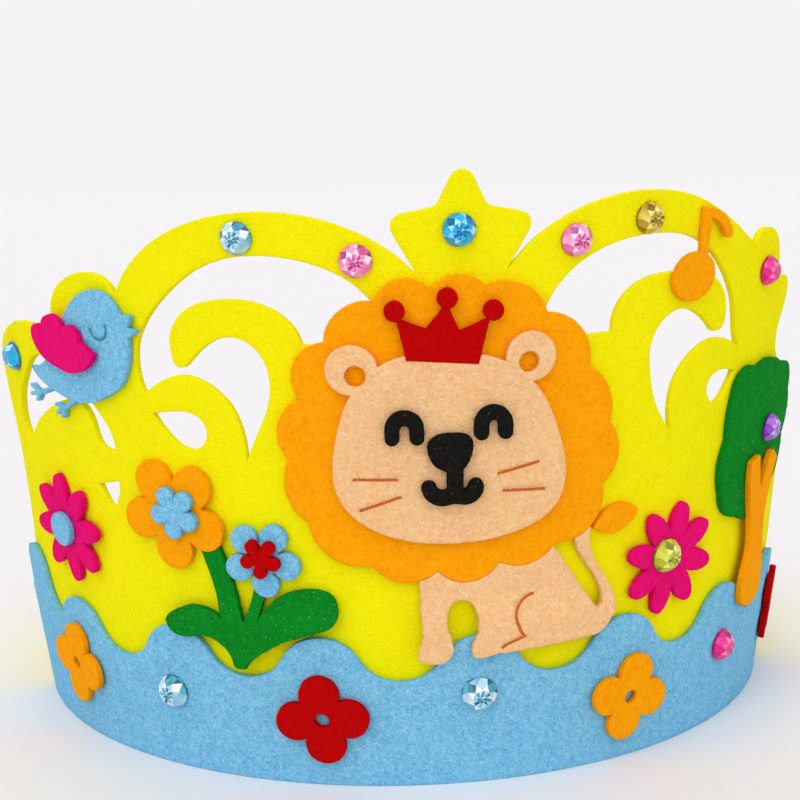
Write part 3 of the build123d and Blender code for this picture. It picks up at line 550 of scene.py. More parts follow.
# Each stone's colours run from painted shade through its own colour to a painted white flash.
STONES = {
    finish.stone: finish
    for finish in (
        StoneFinish.of(Stone.CLEAR, (8, 88, 112), (84, 180, 208), (186, 222, 240), (250, 242, 252)),
        StoneFinish.of(Stone.PINK, (150, 36, 100), (234, 100, 172), (246, 160, 206),
                       (252, 226, 242)),
        StoneFinish.of(Stone.SKY, (0, 80, 132), (0, 142, 206), (24, 184, 236), (160, 234, 252)),
        StoneFinish.of(Stone.GOLD, (96, 66, 0), (180, 140, 8), (212, 184, 40), (244, 234, 140)),
        StoneFinish.of(Stone.MAGENTA, (150, 0, 80), (226, 0, 124), (240, 30, 146), (252, 140, 204)),
        StoneFinish.of(Stone.LIME, (104, 110, 0), (176, 188, 4), (204, 212, 36), (236, 242, 140)),
        StoneFinish.of(Stone.PURPLE, (70, 16, 112), (134, 50, 188), (172, 100, 216),
                       (214, 176, 240)),
    )
}


# Surfaces that felt lies on


@dataclass(frozen=True)
class Wall:
    """The crown's wall, a cone that leans outwards, rolled out flat: along and up, in mm."""

    base_radius: float = 88.0
    lean: float = 0.134
    pattern_radius: float = 96.04

    @property
    def round_trip(self) -> float:
        """Length once round the rolled-out wall."""
        return 2 * math.pi * self.pattern_radius

    def shorter_way(self, along: np.ndarray) -> np.ndarray:
        """Steps along the wall, each taken the shorter way round."""
        return (along + self.round_trip / 2) % self.round_trip - self.round_trip / 2

    def flatten(self, points: np.ndarray) -> np.ndarray:
        """Rolls points out.

        Args:
            points: Points, one to a row.

        Returns:
            How far along, how far up and how far off the wall, one point to a row.
        """
        turn = np.arctan2(points[:, 0], -points[:, 1])
        off = np.hypot(points[:, 0], points[:, 1]) - self.base_radius - self.lean * points[:, 2]
        return np.stack([turn * self.pattern_radius, points[:, 2], off], axis=1)

    def place(self, flat: np.ndarray, off: np.ndarray) -> np.ndarray:
        """Bends rolled-out points back.

        Args:
            flat: How far along and up the wall, one point to a row.
            off: How far off it, for each point.

        Returns:
            Points, one to a row.
        """
        turn = flat[:, 0] / self.pattern_radius
        radius = self.base_radius + self.lean * flat[:, 1] + off
        return np.stack([radius * np.sin(turn), -radius * np.cos(turn), flat[:, 1]], axis=1)

    def outward(self, points: np.ndarray) -> np.ndarray:
        """Directions away from the wall.

        Args:
            points: Points, one to a row.

        Returns:
            A direction for each point, a unit long.
        """
        turn = np.arctan2(points[:, 0], -points[:, 1])
        slope = math.atan(self.lean)
        level, down = math.cos(slope), np.full(len(points), -math.sin(slope))
        return np.stack([np.sin(turn) * level, -np.cos(turn) * level, down], axis=1)


@dataclass(frozen=True)
class Plate:
    """A flat plate that touches the wall, for the small pieces."""

    origin: np.ndarray
    facing: np.ndarray

    def axes(self) -> tuple[np.ndarray, np.ndarray]:
        """The plate's directions in its own plane.

        Returns:
            To the right and up, each a unit long.
        """
        right = np.cross((0.0, 0.0, 1.0), self.facing)
        right /= np.linalg.norm(right)
        return right, np.cross(self.facing, right)

    def flatten(self, points: np.ndarray) -> np.ndarray:
        """Reads points in the plate.

        Args:
            points: Points, one to a row.

        Returns:
            How far right, up and off the plate, one point to a row.
        """
        right, up = self.axes()
        apart = points - self.origin
        return np.stack([apart @ right, apart @ up, apart @ self.facing], axis=1)

    def place(self, flat: np.ndarray, off: np.ndarray) -> np.ndarray:
        """Points from how far right, up and off the plate they lie."""
        right, up = self.axes()
        return self.origin + flat[:, :1] * right + flat[:, 1:] * up + off[:, None] * self.facing


# Felt


# Decimals of a mm to which a solid's corners are read, and the limits in mm under which two
# places or levels count as the same, and a step or a face as none.
PLACE_DIGITS = 3
SAME_LEVEL = 0.02
SHORT_STEP = 1e-3
SEAM_GAP = 1e-6
NET_GAP = 1e-5
NO_LENGTH = 1e-9
WELD_GAP = 0.004
FLAT_FACE = 0.002

# Painted shade on the felt: how far its cut edges are darkened, and how far its slits are.
RIM_SHADE = 0.25
ROUNDING_SHADE = 0.35
SLIT_LIP_SHADE = 0.15


@dataclass(frozen=True)
class Unevenness:
    """Noise in space: how often each layer changes to a millimetre, and its strength."""

    layers: tuple[tuple[float, float], ...]
    middle: float = 0.0

    def at(self, spots: np.ndarray) -> np.ndarray:
        """Its value at each spot."""
        return np.array([
            sum((strength * noise.noise(Vector(spot) * often) for often, strength in self.layers),
                self.middle)
            for spot in spots.tolist()
        ])


RAGGEDNESS = Unevenness(((0.9, 1.0), (2.3, 0.6)))
HOLLOWS = Unevenness(((0.55, 0.05), (1.7, 0.035)), middle=0.05)


@dataclass
class Rim:
    """One cut outline: its points with the felt on their left, and the ways into the felt."""

    line: np.ndarray
    inward: np.ndarray
    goes_round: bool
    slit: bool


@dataclass
class Shell:
    """A sheet's mesh in the making: points with their marks, faces and the walls of its edges."""

    points: list[np.ndarray] = field(default_factory=list)
    cut: list[np.ndarray] = field(default_factory=list)
    scorched: list[np.ndarray] = field(default_factory=list)
    faces: list[np.ndarray] = field(default_factory=list)
    walls: list[np.ndarray] = field(default_factory=list)

    def add(self, points: np.ndarray, cut: np.ndarray | float, scorched: float) -> np.ndarray:
        """Adds points.

        Args:
            points: The points.
            cut: How much painted shade of a cut edge they get, 0 to 1.
            scorched: How much painted shade of a slit they get, 0 to 1.

        Returns:
            Their numbers.
        """
        first, count = sum(map(len, self.points)), len(points)
        self.points.append(points)
        self.cut.append(np.full(count, cut))
        self.scorched.append(np.full(count, scorched))
        return np.arange(first, first + count)

    def wall(self, rows: list[np.ndarray]) -> None:
        """Closes an edge.

        Args:
            rows: Its rows of point numbers, from the front to the back.
        """
        for upper, lower in zip(rows[:-1], rows[1:]):
            sides = [upper, lower, np.roll(lower, -1), np.roll(upper, -1)]
            self.walls.append(np.stack(sides, axis=1))

    def mesh(self, name: str) -> bpy.types.Mesh:
        """Makes the mesh, merges doubles and lets it shade smoothly.

        Args:
            name: Name of the mesh.

        Returns:
            The mesh, with its marks as attributes.
        """
        mesh = bpy.data.meshes.new(name)
        faces = [face for part in self.faces + self.walls for face in part.tolist()]
        mesh.from_pydata((np.vstack(self.points) * MILLIMETRE).tolist(), [], faces)
        for label, marks in (("cut_edge", self.cut), ("scorched", self.scorched)):
            mark = mesh.attributes.new(label, "FLOAT", "POINT")
            mark.data.foreach_set("value", np.concatenate(marks))
        work = bmesh.new()
        work.from_mesh(mesh)
        bmesh.ops.remove_doubles(work, verts=work.verts, dist=WELD_GAP * MILLIMETRE)
        bmesh.ops.dissolve_degenerate(work, dist=FLAT_FACE * MILLIMETRE, edges=work.edges)
        work.to_mesh(mesh)
        work.free()
        mesh.shade_smooth()
        return mesh


@dataclass
class CutSheet:
    """A piece of felt, cut to the outline of its solid."""

    node: str
    finish: FeltFinish
    flat: bool = False
    lap: bool = False
    pitch: float = 1.4
    edge_pitch: float = 0.7
    rim: float = 0.26
    rim_turns: tuple[int, ...] = (0, 30, 60, 90)
    ragged: float = 0.045
    hairs: float = 0.30
    felt: float = 1.5
    layer: float = 1.55
    lap_height: float = 33.5
    lap_run: float = 8.5
    lap_end: float = 0.5
    slit_width: float = 0.8
    slit_rim: float = 0.06
    slit_depth: float = 0.38
    slit_lip: float = 0.25
    corner: float = 0.55
    least_chain: int = 3
    least_smoothed: int = 4
    widest_mitre: float = 0.7
    outer_facing: float = 0.7
    jitter: float = 0.16
    clearance: float = 0.62
    wall: Wall = field(default_factory=Wall)

    def read_solid(self) -> tuple[np.ndarray, np.ndarray]:
        """The solid's corners, with doubles merged, and its triangles.

        Returns:
            Points in mm and triples of their numbers.
        """
        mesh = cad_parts[self.node].data
        mesh.calc_loop_triangles()
        corners = np.empty(len(mesh.vertices) * 3)
        mesh.vertices.foreach_get("co", corners)
        corners = corners.reshape(-1, 3) / MILLIMETRE
        triples = np.empty(len(mesh.loop_triangles) * 3, dtype=np.int64)
        mesh.loop_triangles.foreach_get("vertices", triples)
        keys, places = np.unique(np.round(corners, PLACE_DIGITS), axis=0, return_inverse=True)
        triples = places.reshape(-1)[triples].reshape(-1, 3)
        real = (triples != np.roll(triples, -1, axis=1)).all(axis=1)
        return keys, triples[real]

    def front(self, points: np.ndarray, triples: np.ndarray) -> tuple[np.ndarray, np.ndarray]:
        """Finds the triangles of the outer face.

        Args:
            points: The solid's corners.
            triples: Its triangles.

        Returns:
            The outer face's triangles, and their mean direction.
        """
        first, second, third = (points[triples[:, k]] for k in range(3))
        across = np.cross(second - first, third - first)
        length = np.linalg.norm(across, axis=1)
        kept = length > NO_LENGTH
        facing = across[kept] / length[kept, None]
        middle = (first + second + third)[kept] / 3
        outer = (facing * self.wall.outward(middle)).sum(axis=1) > self.outer_facing
        mean = across[kept][outer].sum(axis=0)
        return triples[kept][outer], mean / np.linalg.norm(mean)

    def borders(self, points: np.ndarray, outer: np.ndarray) -> list[list[int]]:
        """Chains the edges round the outer face, felt on their left.

        Args:
            points: The solid's corners.
            outer: Triangles of the outer face.

        Returns:
            Closed chains of point numbers. The step of a piece that laps is bridged.
        """
        edges = {(int(t[k]), int(t[(k + 1) % 3])) for t in outer for k in range(3)}
        open_edges = [edge for edge in edges if (edge[1], edge[0]) not in edges]
        if self.lap:
            on_step = np.abs(points[:, 2] - self.lap_height) < SAME_LEVEL
            open_edges = [(a, b) for a, b in open_edges if not (on_step[a] and on_step[b])]
        following: dict[int, int] = dict(sorted(open_edges))
        free = sorted(set(following) - set(following.values()))
        flat = self.wall.flatten(points)[:, :2]
        for end in sorted(set(following.values()) - set(following)):
            near = min(free, key=lambda start: float(np.linalg.norm(flat[start] - flat[end])))
            following[end] = near
            free.remove(near)
        chains, left = [], set(following)
        while left:
            chain = [min(left)]
            left.discard(chain[0])
            while following[chain[-1]] in left:
                chain.append(following[chain[-1]])
                left.discard(chain[-1])
            if len(chain) > self.least_chain:
                chains.append(chain)
        return chains

    def respace(self, line: np.ndarray, closed: bool) -> np.ndarray:
        """Spaces an outline evenly between its corners.

        Args:
            line: Points of the outline.
            closed: Whether it returns to its first point.

        Returns:
            New points. An open line keeps both its ends.
        """
        ahead = np.diff(line, axis=0, append=line[:1] if closed else line[-1:])
        apart = np.linalg.norm(ahead, axis=1)
        if closed:
            line = line[apart > SHORT_STEP]
            turn = self.turning(line - np.roll(line, 1, axis=0), np.roll(line, -1, axis=0) - line)
            corners = np.flatnonzero(turn > self.corner)
            if len(corners):
                line = np.roll(line, -corners[0], axis=0)
                corners = corners - corners[0]
            else:
                corners = np.array([0])
            line = np.vstack([line, line[:1]])
            corners = [*corners.tolist(), len(line) - 1]
        else:
            line = line[np.append(apart[:-1] > SHORT_STEP, True)]
            turn = self.turning(line[1:-1] - line[:-2], line[2:] - line[1:-1])
            corners = [0, *(np.flatnonzero(turn > self.corner) + 1).tolist(), len(line) - 1]
        spaced = []
        for begin, end in zip(corners[:-1], corners[1:]):
            stretch = line[begin:end + 1]
            steps = np.linalg.norm(np.diff(stretch, axis=0), axis=1)
            run = np.concatenate([[0], np.cumsum(steps)])
            count = 1
            if run[-1] > self.edge_pitch:
                count = max(2, round(run[-1] / self.edge_pitch))
            stops = np.linspace(0, run[-1], count + 1)
            even = np.stack([np.interp(stops, run, stretch[:, k]) for k in (0, 1)], axis=1)
            if count > self.least_smoothed:
                even[1:-1] = (even[:-2] + 2 * even[1:-1] + even[2:]) / 4
            spaced.append(even[:-1])
        if not closed:
            spaced.append(line[-1:])
        return np.vstack(spaced)

    @staticmethod
    def turning(before: np.ndarray, after: np.ndarray) -> np.ndarray:
        """How far each step turns from the last, in radians."""
        cross = before[:, 0] * after[:, 1] - before[:, 1] * after[:, 0]
        return np.abs(np.arctan2(cross, (before * after).sum(axis=1)))

    def inwards(self, line: np.ndarray, goes_round: bool) -> np.ndarray:
        """Directions into the felt along a closed outline.

        Args:
            line: Outline with the felt on its left.
            goes_round: Whether it goes round the crown.

        Returns:
            One direction to a point, longer at corners.
        """
        step = np.roll(line, -1, axis=0) - line
        if goes_round:
            step[:, 0] = self.wall.shorter_way(step[:, 0])
        step /= np.maximum(np.linalg.norm(step, axis=1), NO_LENGTH)[:, None]
        left = np.stack([-step[:, 1], step[:, 0]], axis=1)
        mean = left + np.roll(left, 1, axis=0)
        mean /= np.maximum(np.linalg.norm(mean, axis=1), NO_LENGTH)[:, None]
        reach = np.clip((mean * left).sum(axis=1), self.widest_mitre, 1.0)
        return mean / reach[:, None]

    def lift(self, flat: np.ndarray, base: float) -> np.ndarray:
        """How far off its surface the sheet's back lies.

        Args:
            flat: Places on the sheet.
            base: Distance of the back from the surface where nothing is under it.

        Returns:
            Distances, rising smoothly by a sheet where the piece laps over the blue strip.
        """
        if not self.lap:
            return np.full(len(flat), base)
        run = self.lap_run + self.lap_end
        share = np.clip((self.lap_height + self.lap_run - flat[:, 1]) / run, 0, 1)
        return base + self.layer * share * share * (3 - 2 * share)

    def ring_outline(self, line: np.ndarray, turned: float) -> np.ndarray:
        """Spaces an outline that goes once round the crown, from the seam at its back.

        Args:
            line: Its points, running on from one to the next.
            turned: Its signed length along.

        Returns:
            Its points, from one side of the seam to just before the other.
        """
        once = self.wall.round_trip
        way = 1.0 if turned > 0 else -1.0
        start = -way * once / 2
        long = np.vstack([line, line + (turned, 0.0), line + (2 * turned, 0.0)])
        back = round((long[0, 0] - start) / once) * once
        late = way * (long[0, 0] - back - start) > 0
        long = long - (back + (way * once if late else 0.0), 0.0)
        order = way * long[:, 0]
        first, last = way * start, way * start + once
        inner = np.flatnonzero((order > first + SEAM_GAP) & (order < last - SEAM_GAP))
        ends = [[(along, float(np.interp(stop, order, long[:, 1])))]
                for along, stop in ((start, first), (start + way * once, last))]
        whole = np.vstack([ends[0], long[inner[0]:inner[-1] + 1], ends[1]])
        return self.respace(whole, False)[:-1]

    def trim(self, surface: Wall | Plate, line: np.ndarray) -> Rim:
        """Cuts one outline, a little ragged.

        Args:
            surface: What the sheet lies on.
            line: Corners of the solid's outline, rolled out.

        Returns:
            The cut outline.
        """
        once, turned = self.wall.round_trip, 0.0
        if not self.flat:
            step = self.wall.shorter_way(np.diff(line[:, 0], append=line[:1, 0]))
            turned = float(step.sum())
            along = line[0, 0] + np.concatenate([[0], np.cumsum(step[:-1])])
            line = np.stack([along, line[:, 1]], axis=1)
        goes_round = abs(turned) > once / 2
        if goes_round:
            line = self.ring_outline(line, turned)
        else:
            line = self.respace(line - (round(line[:, 0].mean() / once) * once, 0.0), True)
        inward = self.inwards(line, goes_round)
        spots = surface.place(line, np.zeros(len(line)))
        line = line + inward * (RAGGEDNESS.at(spots) * self.ragged)[:, None]
        return Rim(line, inward, goes_round, not goes_round and self.is_slit(line))

    def is_slit(self, loop: np.ndarray) -> bool:
        """Tells a thin slit from a window or an outline.

        Args:
            loop: Points of the outline.

        Returns:
            Whether it is a hole whose mean width is a slit's.
        """
        after = np.roll(loop, -1, axis=0)
        area = float((loop[:, 0] * after[:, 1] - loop[:, 1] * after[:, 0]).sum()) / 2
        length = float(np.linalg.norm(after - loop, axis=1).sum())
        return area < 0 and -2 * area / length < self.slit_width

    @staticmethod
    def inside(places: np.ndarray, loops: list[np.ndarray]) -> np.ndarray:
        """Tells which places lie in the felt.

        Args:
            places: Places to test.
            loops: Outlines of the felt and its holes.

        Returns:
            True for each place inside an odd number of outlines.
        """
        odd = np.zeros(len(places), dtype=bool)
        for loop in loops:
            ends = np.roll(loop, -1, axis=0)
            for (x0, y0), (x1, y1) in zip(loop.tolist(), ends.tolist()):
                if y0 == y1:
                    continue
                span = (places[:, 1] >= min(y0, y1)) & (places[:, 1] < max(y0, y1))
                rows = np.flatnonzero(span)
                if len(rows):
                    cut = x0 + (places[rows, 1] - y0) * (x1 - x0) / (y1 - y0)
                    odd[rows[places[rows, 0] < cut]] ^= True
        return odd

    def span(self, points: np.ndarray, loops: list[np.ndarray]) -> Net:
        """Joins points to triangles inside outlines.

        Args:
            points: Places, those of the outlines first.
            loops: The outlines.

        Returns:
            Points of the net, its triangles, and for each outline its points' numbers.
        """
        edges, first, spans = [], 0, []
        for loop in loops:
            numbers = list(range(first, first + len(loop)))
            edges += list(zip(numbers, numbers[1:] + numbers[:1]))
            spans.append(numbers)
            first += len(loop)
        spots, _, faces, origins, _, _ = geometry.delaunay_2d_cdt(
            [Vector(p) for p in points.tolist()], edges, [], 0, NET_GAP, True
        )
        made = np.array([tuple(v) for v in spots])
        triples = np.array([tuple(f) for f in faces])
        triples = triples[self.inside(made[triples].mean(axis=1), loops)]
        number_of = {old: new for new, olds in enumerate(origins) for old in olds}
        return made, triples, [np.array([number_of[n] for n in numbers]) for numbers in spans]

    def cover(self, loops: list[np.ndarray]) -> Net:
        """Fills the outlines with a fine, even net.

        Args:
            loops: Outlines with the felt on their left.

        Returns:
            Points of the net, its triangles, and for each outline its points' numbers.
        """
        points = np.vstack(loops)
        low, high = points.min(axis=0), points.max(axis=0)
        rise = self.pitch * math.sqrt(3) / 2
        grid = []
        for row in range(int((high[1] - low[1]) / rise) + 2):
            inset = self.pitch / 2 if row % 2 else 0.0
            along = np.arange(low[0] + inset, high[0], self.pitch)
            grid.append(np.stack([along, np.full(len(along), low[1] + row * rise)], axis=1))
        grid = np.vstack(grid)
        rng = np.random.default_rng(len(grid))
        grid += rng.uniform(-self.jitter, self.jitter, grid.shape) * self.pitch
        grid = grid[self.inside(grid, loops)]
        tree = kdtree.KDTree(len(points))
        for number, (x, y) in enumerate(points):
            tree.insert((x, y, 0.0), number)
        tree.balance()
        least = self.clearance * self.edge_pitch
        clear = [tree.find((x, y, 0.0))[2] > least for x, y in grid]
        return self.span(np.vstack([points, grid[np.array(clear, dtype=bool)]]), loops)

    def cover_round(self, loops: list[np.ndarray], foot: int, top: int) -> Net:
        """Fills a sheet that goes round the crown, opened at the seam at its back.

        Args:
            loops: All outlines, inset.
            foot: Number of the lower one that goes round.
            top: Number of the upper one.

        Returns:
            Points of the net, its triangles, and for each outline its points' numbers.
        """
        low, high, end = loops[foot], loops[top], self.wall.round_trip / 2
        steps = max(2, round(abs(high[0, 1] - low[0, 1]) / self.pitch))
        rise = np.linspace(low[0, 1], high[0, 1], steps + 1)
        far = np.stack([np.full(steps, end), rise[:-1]], axis=1)
        near = np.stack([np.full(steps, -end), rise[:0:-1]], axis=1)
        others = [n for n in range(len(loops)) if n not in (foot, top)]
        joined = np.vstack([low, far, high, near])
        made, triples, rings = self.cover([joined, *(loops[n] for n in others)])
        found = dict(zip(others, rings[1:]))
        found[foot] = rings[0][:len(low)]
        found[top] = rings[0][len(low) + steps:][:len(high)]
        return made, triples, [found[n] for n in range(len(loops))]

    def fill(self, loop: np.ndarray) -> np.ndarray:
        """Joins a slit's own points to triangles.

        Args:
            loop: Its outline.

        Returns:
            Triples of the outline's point numbers.
        """
        made, triples, (ring,) = self.span(loop, [loop])
        number_at = np.zeros(len(made), dtype=np.int64)
        number_at[ring] = np.arange(len(ring))
        return number_at[triples]

    def profile(self, slit: bool) -> list[tuple[float, float]]:
        """Section of a cut edge or a slit.

        Args:
            slit: Whether it is a slit's.

        Returns:
            Insets and depths below the outer face, from the front on.
        """
        if slit:
            lip = (self.slit_rim * self.slit_lip, self.slit_depth * self.slit_lip)
            return [(self.slit_rim, 0.0), lip, (0.0, self.slit_depth)]
        turns = [math.radians(turn) for turn in self.rim_turns]
        top = [(self.rim * (1 - math.sin(a)), self.rim * (1 - math.cos(a))) for a in turns]
        return top + [(inset, self.felt - depth) for inset, depth in reversed(top)]

    def cut_mark(self, slit: bool, depth: float) -> float:
        """How much painted shade of a cut edge the felt gets.

        Args:
            slit: Whether the edge is a slit's.
            depth: Depth below the outer face.

        Returns:
            The mark, 0 to 1.
        """
        if slit:
            return 0.0
        return min(1.0, ROUNDING_SHADE + depth) if depth < self.felt / 2 else 1.0

    def build(self) -> bpy.types.Object:
        """Cuts the felt and raises its hairs.

        Returns:
            The finished piece.
        """
        points, triples = self.read_solid()
        outer, facing = self.front(points, triples)
        surface = Plate(points[outer[0, 0]], facing) if self.flat else self.wall
        rolled = surface.flatten(points)
        base = float(rolled[np.unique(outer), 2].min()) - self.felt
        rims = [self.trim(surface, rolled[chain, :2]) for chain in self.borders(points, outer)]
        return self.raise_hairs(self.write(surface, rims, base))

    def write(self, surface: Wall | Plate, rims: list[Rim], base: float) -> bpy.types.Mesh:
        """Makes the sheet's mesh from its cut outlines.

        Args:
            surface: What the sheet lies on.
            rims: Its outlines.
            base: Distance of its back from the surface.

        Returns:
            The mesh, with marks of painted shade on its cut edges and in its slits.
        """
        loops = [rim.line + rim.inward * self.profile(rim.slit)[0][0] for rim in rims]
        seams = [n for n, rim in enumerate(rims) if rim.goes_round]
        if seams:
            seams.sort(key=lambda n: float(loops[n][:, 1].mean()))
            made, triples, rings = self.cover_round(loops, *seams)
        else:
            made, triples, rings = self.cover(loops)
        lifts, on_rim = self.lift(made, base), np.zeros(len(made), dtype=bool)
        on_rim[np.concatenate(rings)] = True
        hollow = HOLLOWS.at(surface.place(made, lifts + self.felt))
        hollow[on_rim] = 0.0
        # Painted shade: the rims of the faces take a little of the cut edges' darker colour.
        shell, mark = Shell(), np.where(on_rim, RIM_SHADE, 0.0)
        shell.add(surface.place(made, lifts + self.felt - hollow), mark, 0.0)
        back = shell.add(surface.place(made, lifts), mark, 0.0)
        shell.faces += [triples, back[triples[:, ::-1]]]
        for rim, ring in zip(rims, rings):
            rows = [ring]
            section = self.profile(rim.slit)
            for inset, depth in section[1:] if rim.slit else section[1:-1]:
                row = rim.line + rim.inward * inset
                spots = surface.place(row, self.lift(row, base) + self.felt - depth)
                # Painted shade: cut walls darken towards the cut colour, slit walls and floors
                # fully towards the slit shade.
                rows.append(shell.add(spots, self.cut_mark(rim.slit, depth), float(rim.slit)))
            if rim.slit:
                # Painted shade: the lip round a slit on the front is darkened a little.
                shell.scorched[0][ring] = SLIT_LIP_SHADE
                across = self.fill(rim.line)
                shell.faces += [rows[-1][across], back[ring[across[:, ::-1]]]]
            else:
                rows.append(back[ring])
            shell.wall(rows)
        return shell.mesh(self.node)

    def raise_hairs(self, mesh: bpy.types.Mesh) -> bpy.types.Object:
        """Sets loose hairs on the felt and finishes the piece.

        Args:
            mesh: The bare felt.

        Returns:
            The finished piece.
        """
        bare = bpy.data.objects.new(self.node + "_bare", mesh)
        piece = Hairs(per_area=self.hairs, seed=len(self.node)).grow(bare, self.finish.material())
        piece.name = self.node + "_cut"
        report(piece, self.finish.felt.value, self.node)
        return piece


def cut(node: str, felt: Felt, **sizes: object) -> None:
    """Cuts a piece of felt.

    Args:
        node: Its solid.
        felt: Its felt.
        sizes: Fields of its CutSheet.
    """
    CutSheet(node, FELTS[felt], **sizes).build()


def report(piece: bpy.types.Object, slot: str, *nodes: str) -> None:
    """Gives a finished piece its body, hides the solids that it stands for and logs it.

    Args:
        piece: The piece.
        slot: Its slot; not used.
        nodes: The solids that it replaces.
    """
    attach(piece, BODY)
    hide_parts(*nodes)
    log.info("%s: %d faces", piece.name, len(piece.data.polygons))


class GeometryTree:
    """A Geometry Nodes tree with named inputs."""

    def __init__(self, name: str, inputs: Sockets) -> None:
        """Starts the tree.

        Args:
            name: Name of the tree.
            inputs: Name, socket type and default of each input after the geometry.
        """
        self.tree = bpy.data.node_groups.new(name, "GeometryNodeTree")
        add_inputs(self.tree, [("Geometry", "NodeSocketGeometry", None)])
        self.identifiers = add_inputs(self.tree, inputs)
        self.tree.interface.new_socket("Geometry", in_out="OUTPUT",
                                       socket_type="NodeSocketGeometry")
        self.entry = self.tree.nodes.new("NodeGroupInput").outputs
        self.out = self.tree.nodes.new("NodeGroupOutput")

    def add(self, kind: str, links: dict[object, object] | None = None,
            **settings: object) -> bpy.types.Node:
        """Adds a node.

        Args:
            kind: The node's type.
            links: Its inputs, as sockets or values, by name or number.
            settings: Its properties.

        Returns:
            The node.
        """
        node = self.tree.nodes.new(kind)
        for label, value in settings.items():
            setattr(node, label, value)
        for label, value in (links or {}).items():
            feed(self.tree, node.inputs[label], value)
        return node

    def attribute(self, name: str, kind: str) -> bpy.types.NodeSocket:
        """A value kept on the mesh."""
        node = self.add("GeometryNodeInputNamedAttribute", {"Name": name}, data_type=kind)
        return node.outputs["Attribute"]

    def instances(self, points: bpy.types.NodeSocket, pattern: bpy.types.NodeSocket,
                  turn: bpy.types.NodeSocket, scale: bpy.types.NodeSocket) -> bpy.types.NodeSocket:
        """Sets a copy of an object on each point.

        Args:
            points: The points.
            pattern: The object.
            turn: How each copy is turned.
            scale: Its size.

        Returns:
            The copies.
        """
        shape = self.add("GeometryNodeObjectInfo", {"Object": pattern}).outputs["Geometry"]
        return self.add("GeometryNodeInstanceOnPoints", {
            "Points": points, "Instance": shape, "Rotation": turn, "Scale": scale,
        }).outputs[0]

    def close(self, made: bpy.types.NodeSocket, material: bpy.types.NodeSocket) -> None:
        """Ends the tree: what was made becomes plain mesh and gets its material.

        Args:
            made: The geometry.
            material: Its material.
        """
        real = self.add("GeometryNodeRealizeInstances", {"Geometry": made}).outputs[0]
        dressed = self.add("GeometryNodeSetMaterial", {"Geometry": real, "Material": material})
        self.tree.links.new(dressed.outputs[0], self.out.inputs[0])

    def run(self, bare: bpy.types.Object, values: dict[str, object]) -> bpy.types.Object:
        """Evaluates the tree on an object and keeps the result as a plain mesh.

        Args:
            bare: The object that it works on, which goes away.
            values: The tree's inputs, by name.

        Returns:
            A new object with no modifier.
        """
        bpy.context.scene.collection.objects.link(bare)
        modifier = bare.modifiers.new(self.tree.name, "NODES")
        modifier.node_group = self.tree
        for label, value in values.items():
            modifier[self.identifiers[label]] = value
        bpy.context.view_layer.update()
        seen = bare.evaluated_get(bpy.context.evaluated_depsgraph_get())
        mesh = bpy.data.meshes.new_from_object(seen)
        bare.modifiers.remove(modifier)
        bpy.data.objects.remove(bare)
        made = bpy.data.objects.new(mesh.name, mesh)
        bpy.context.scene.collection.objects.link(made)
        return made


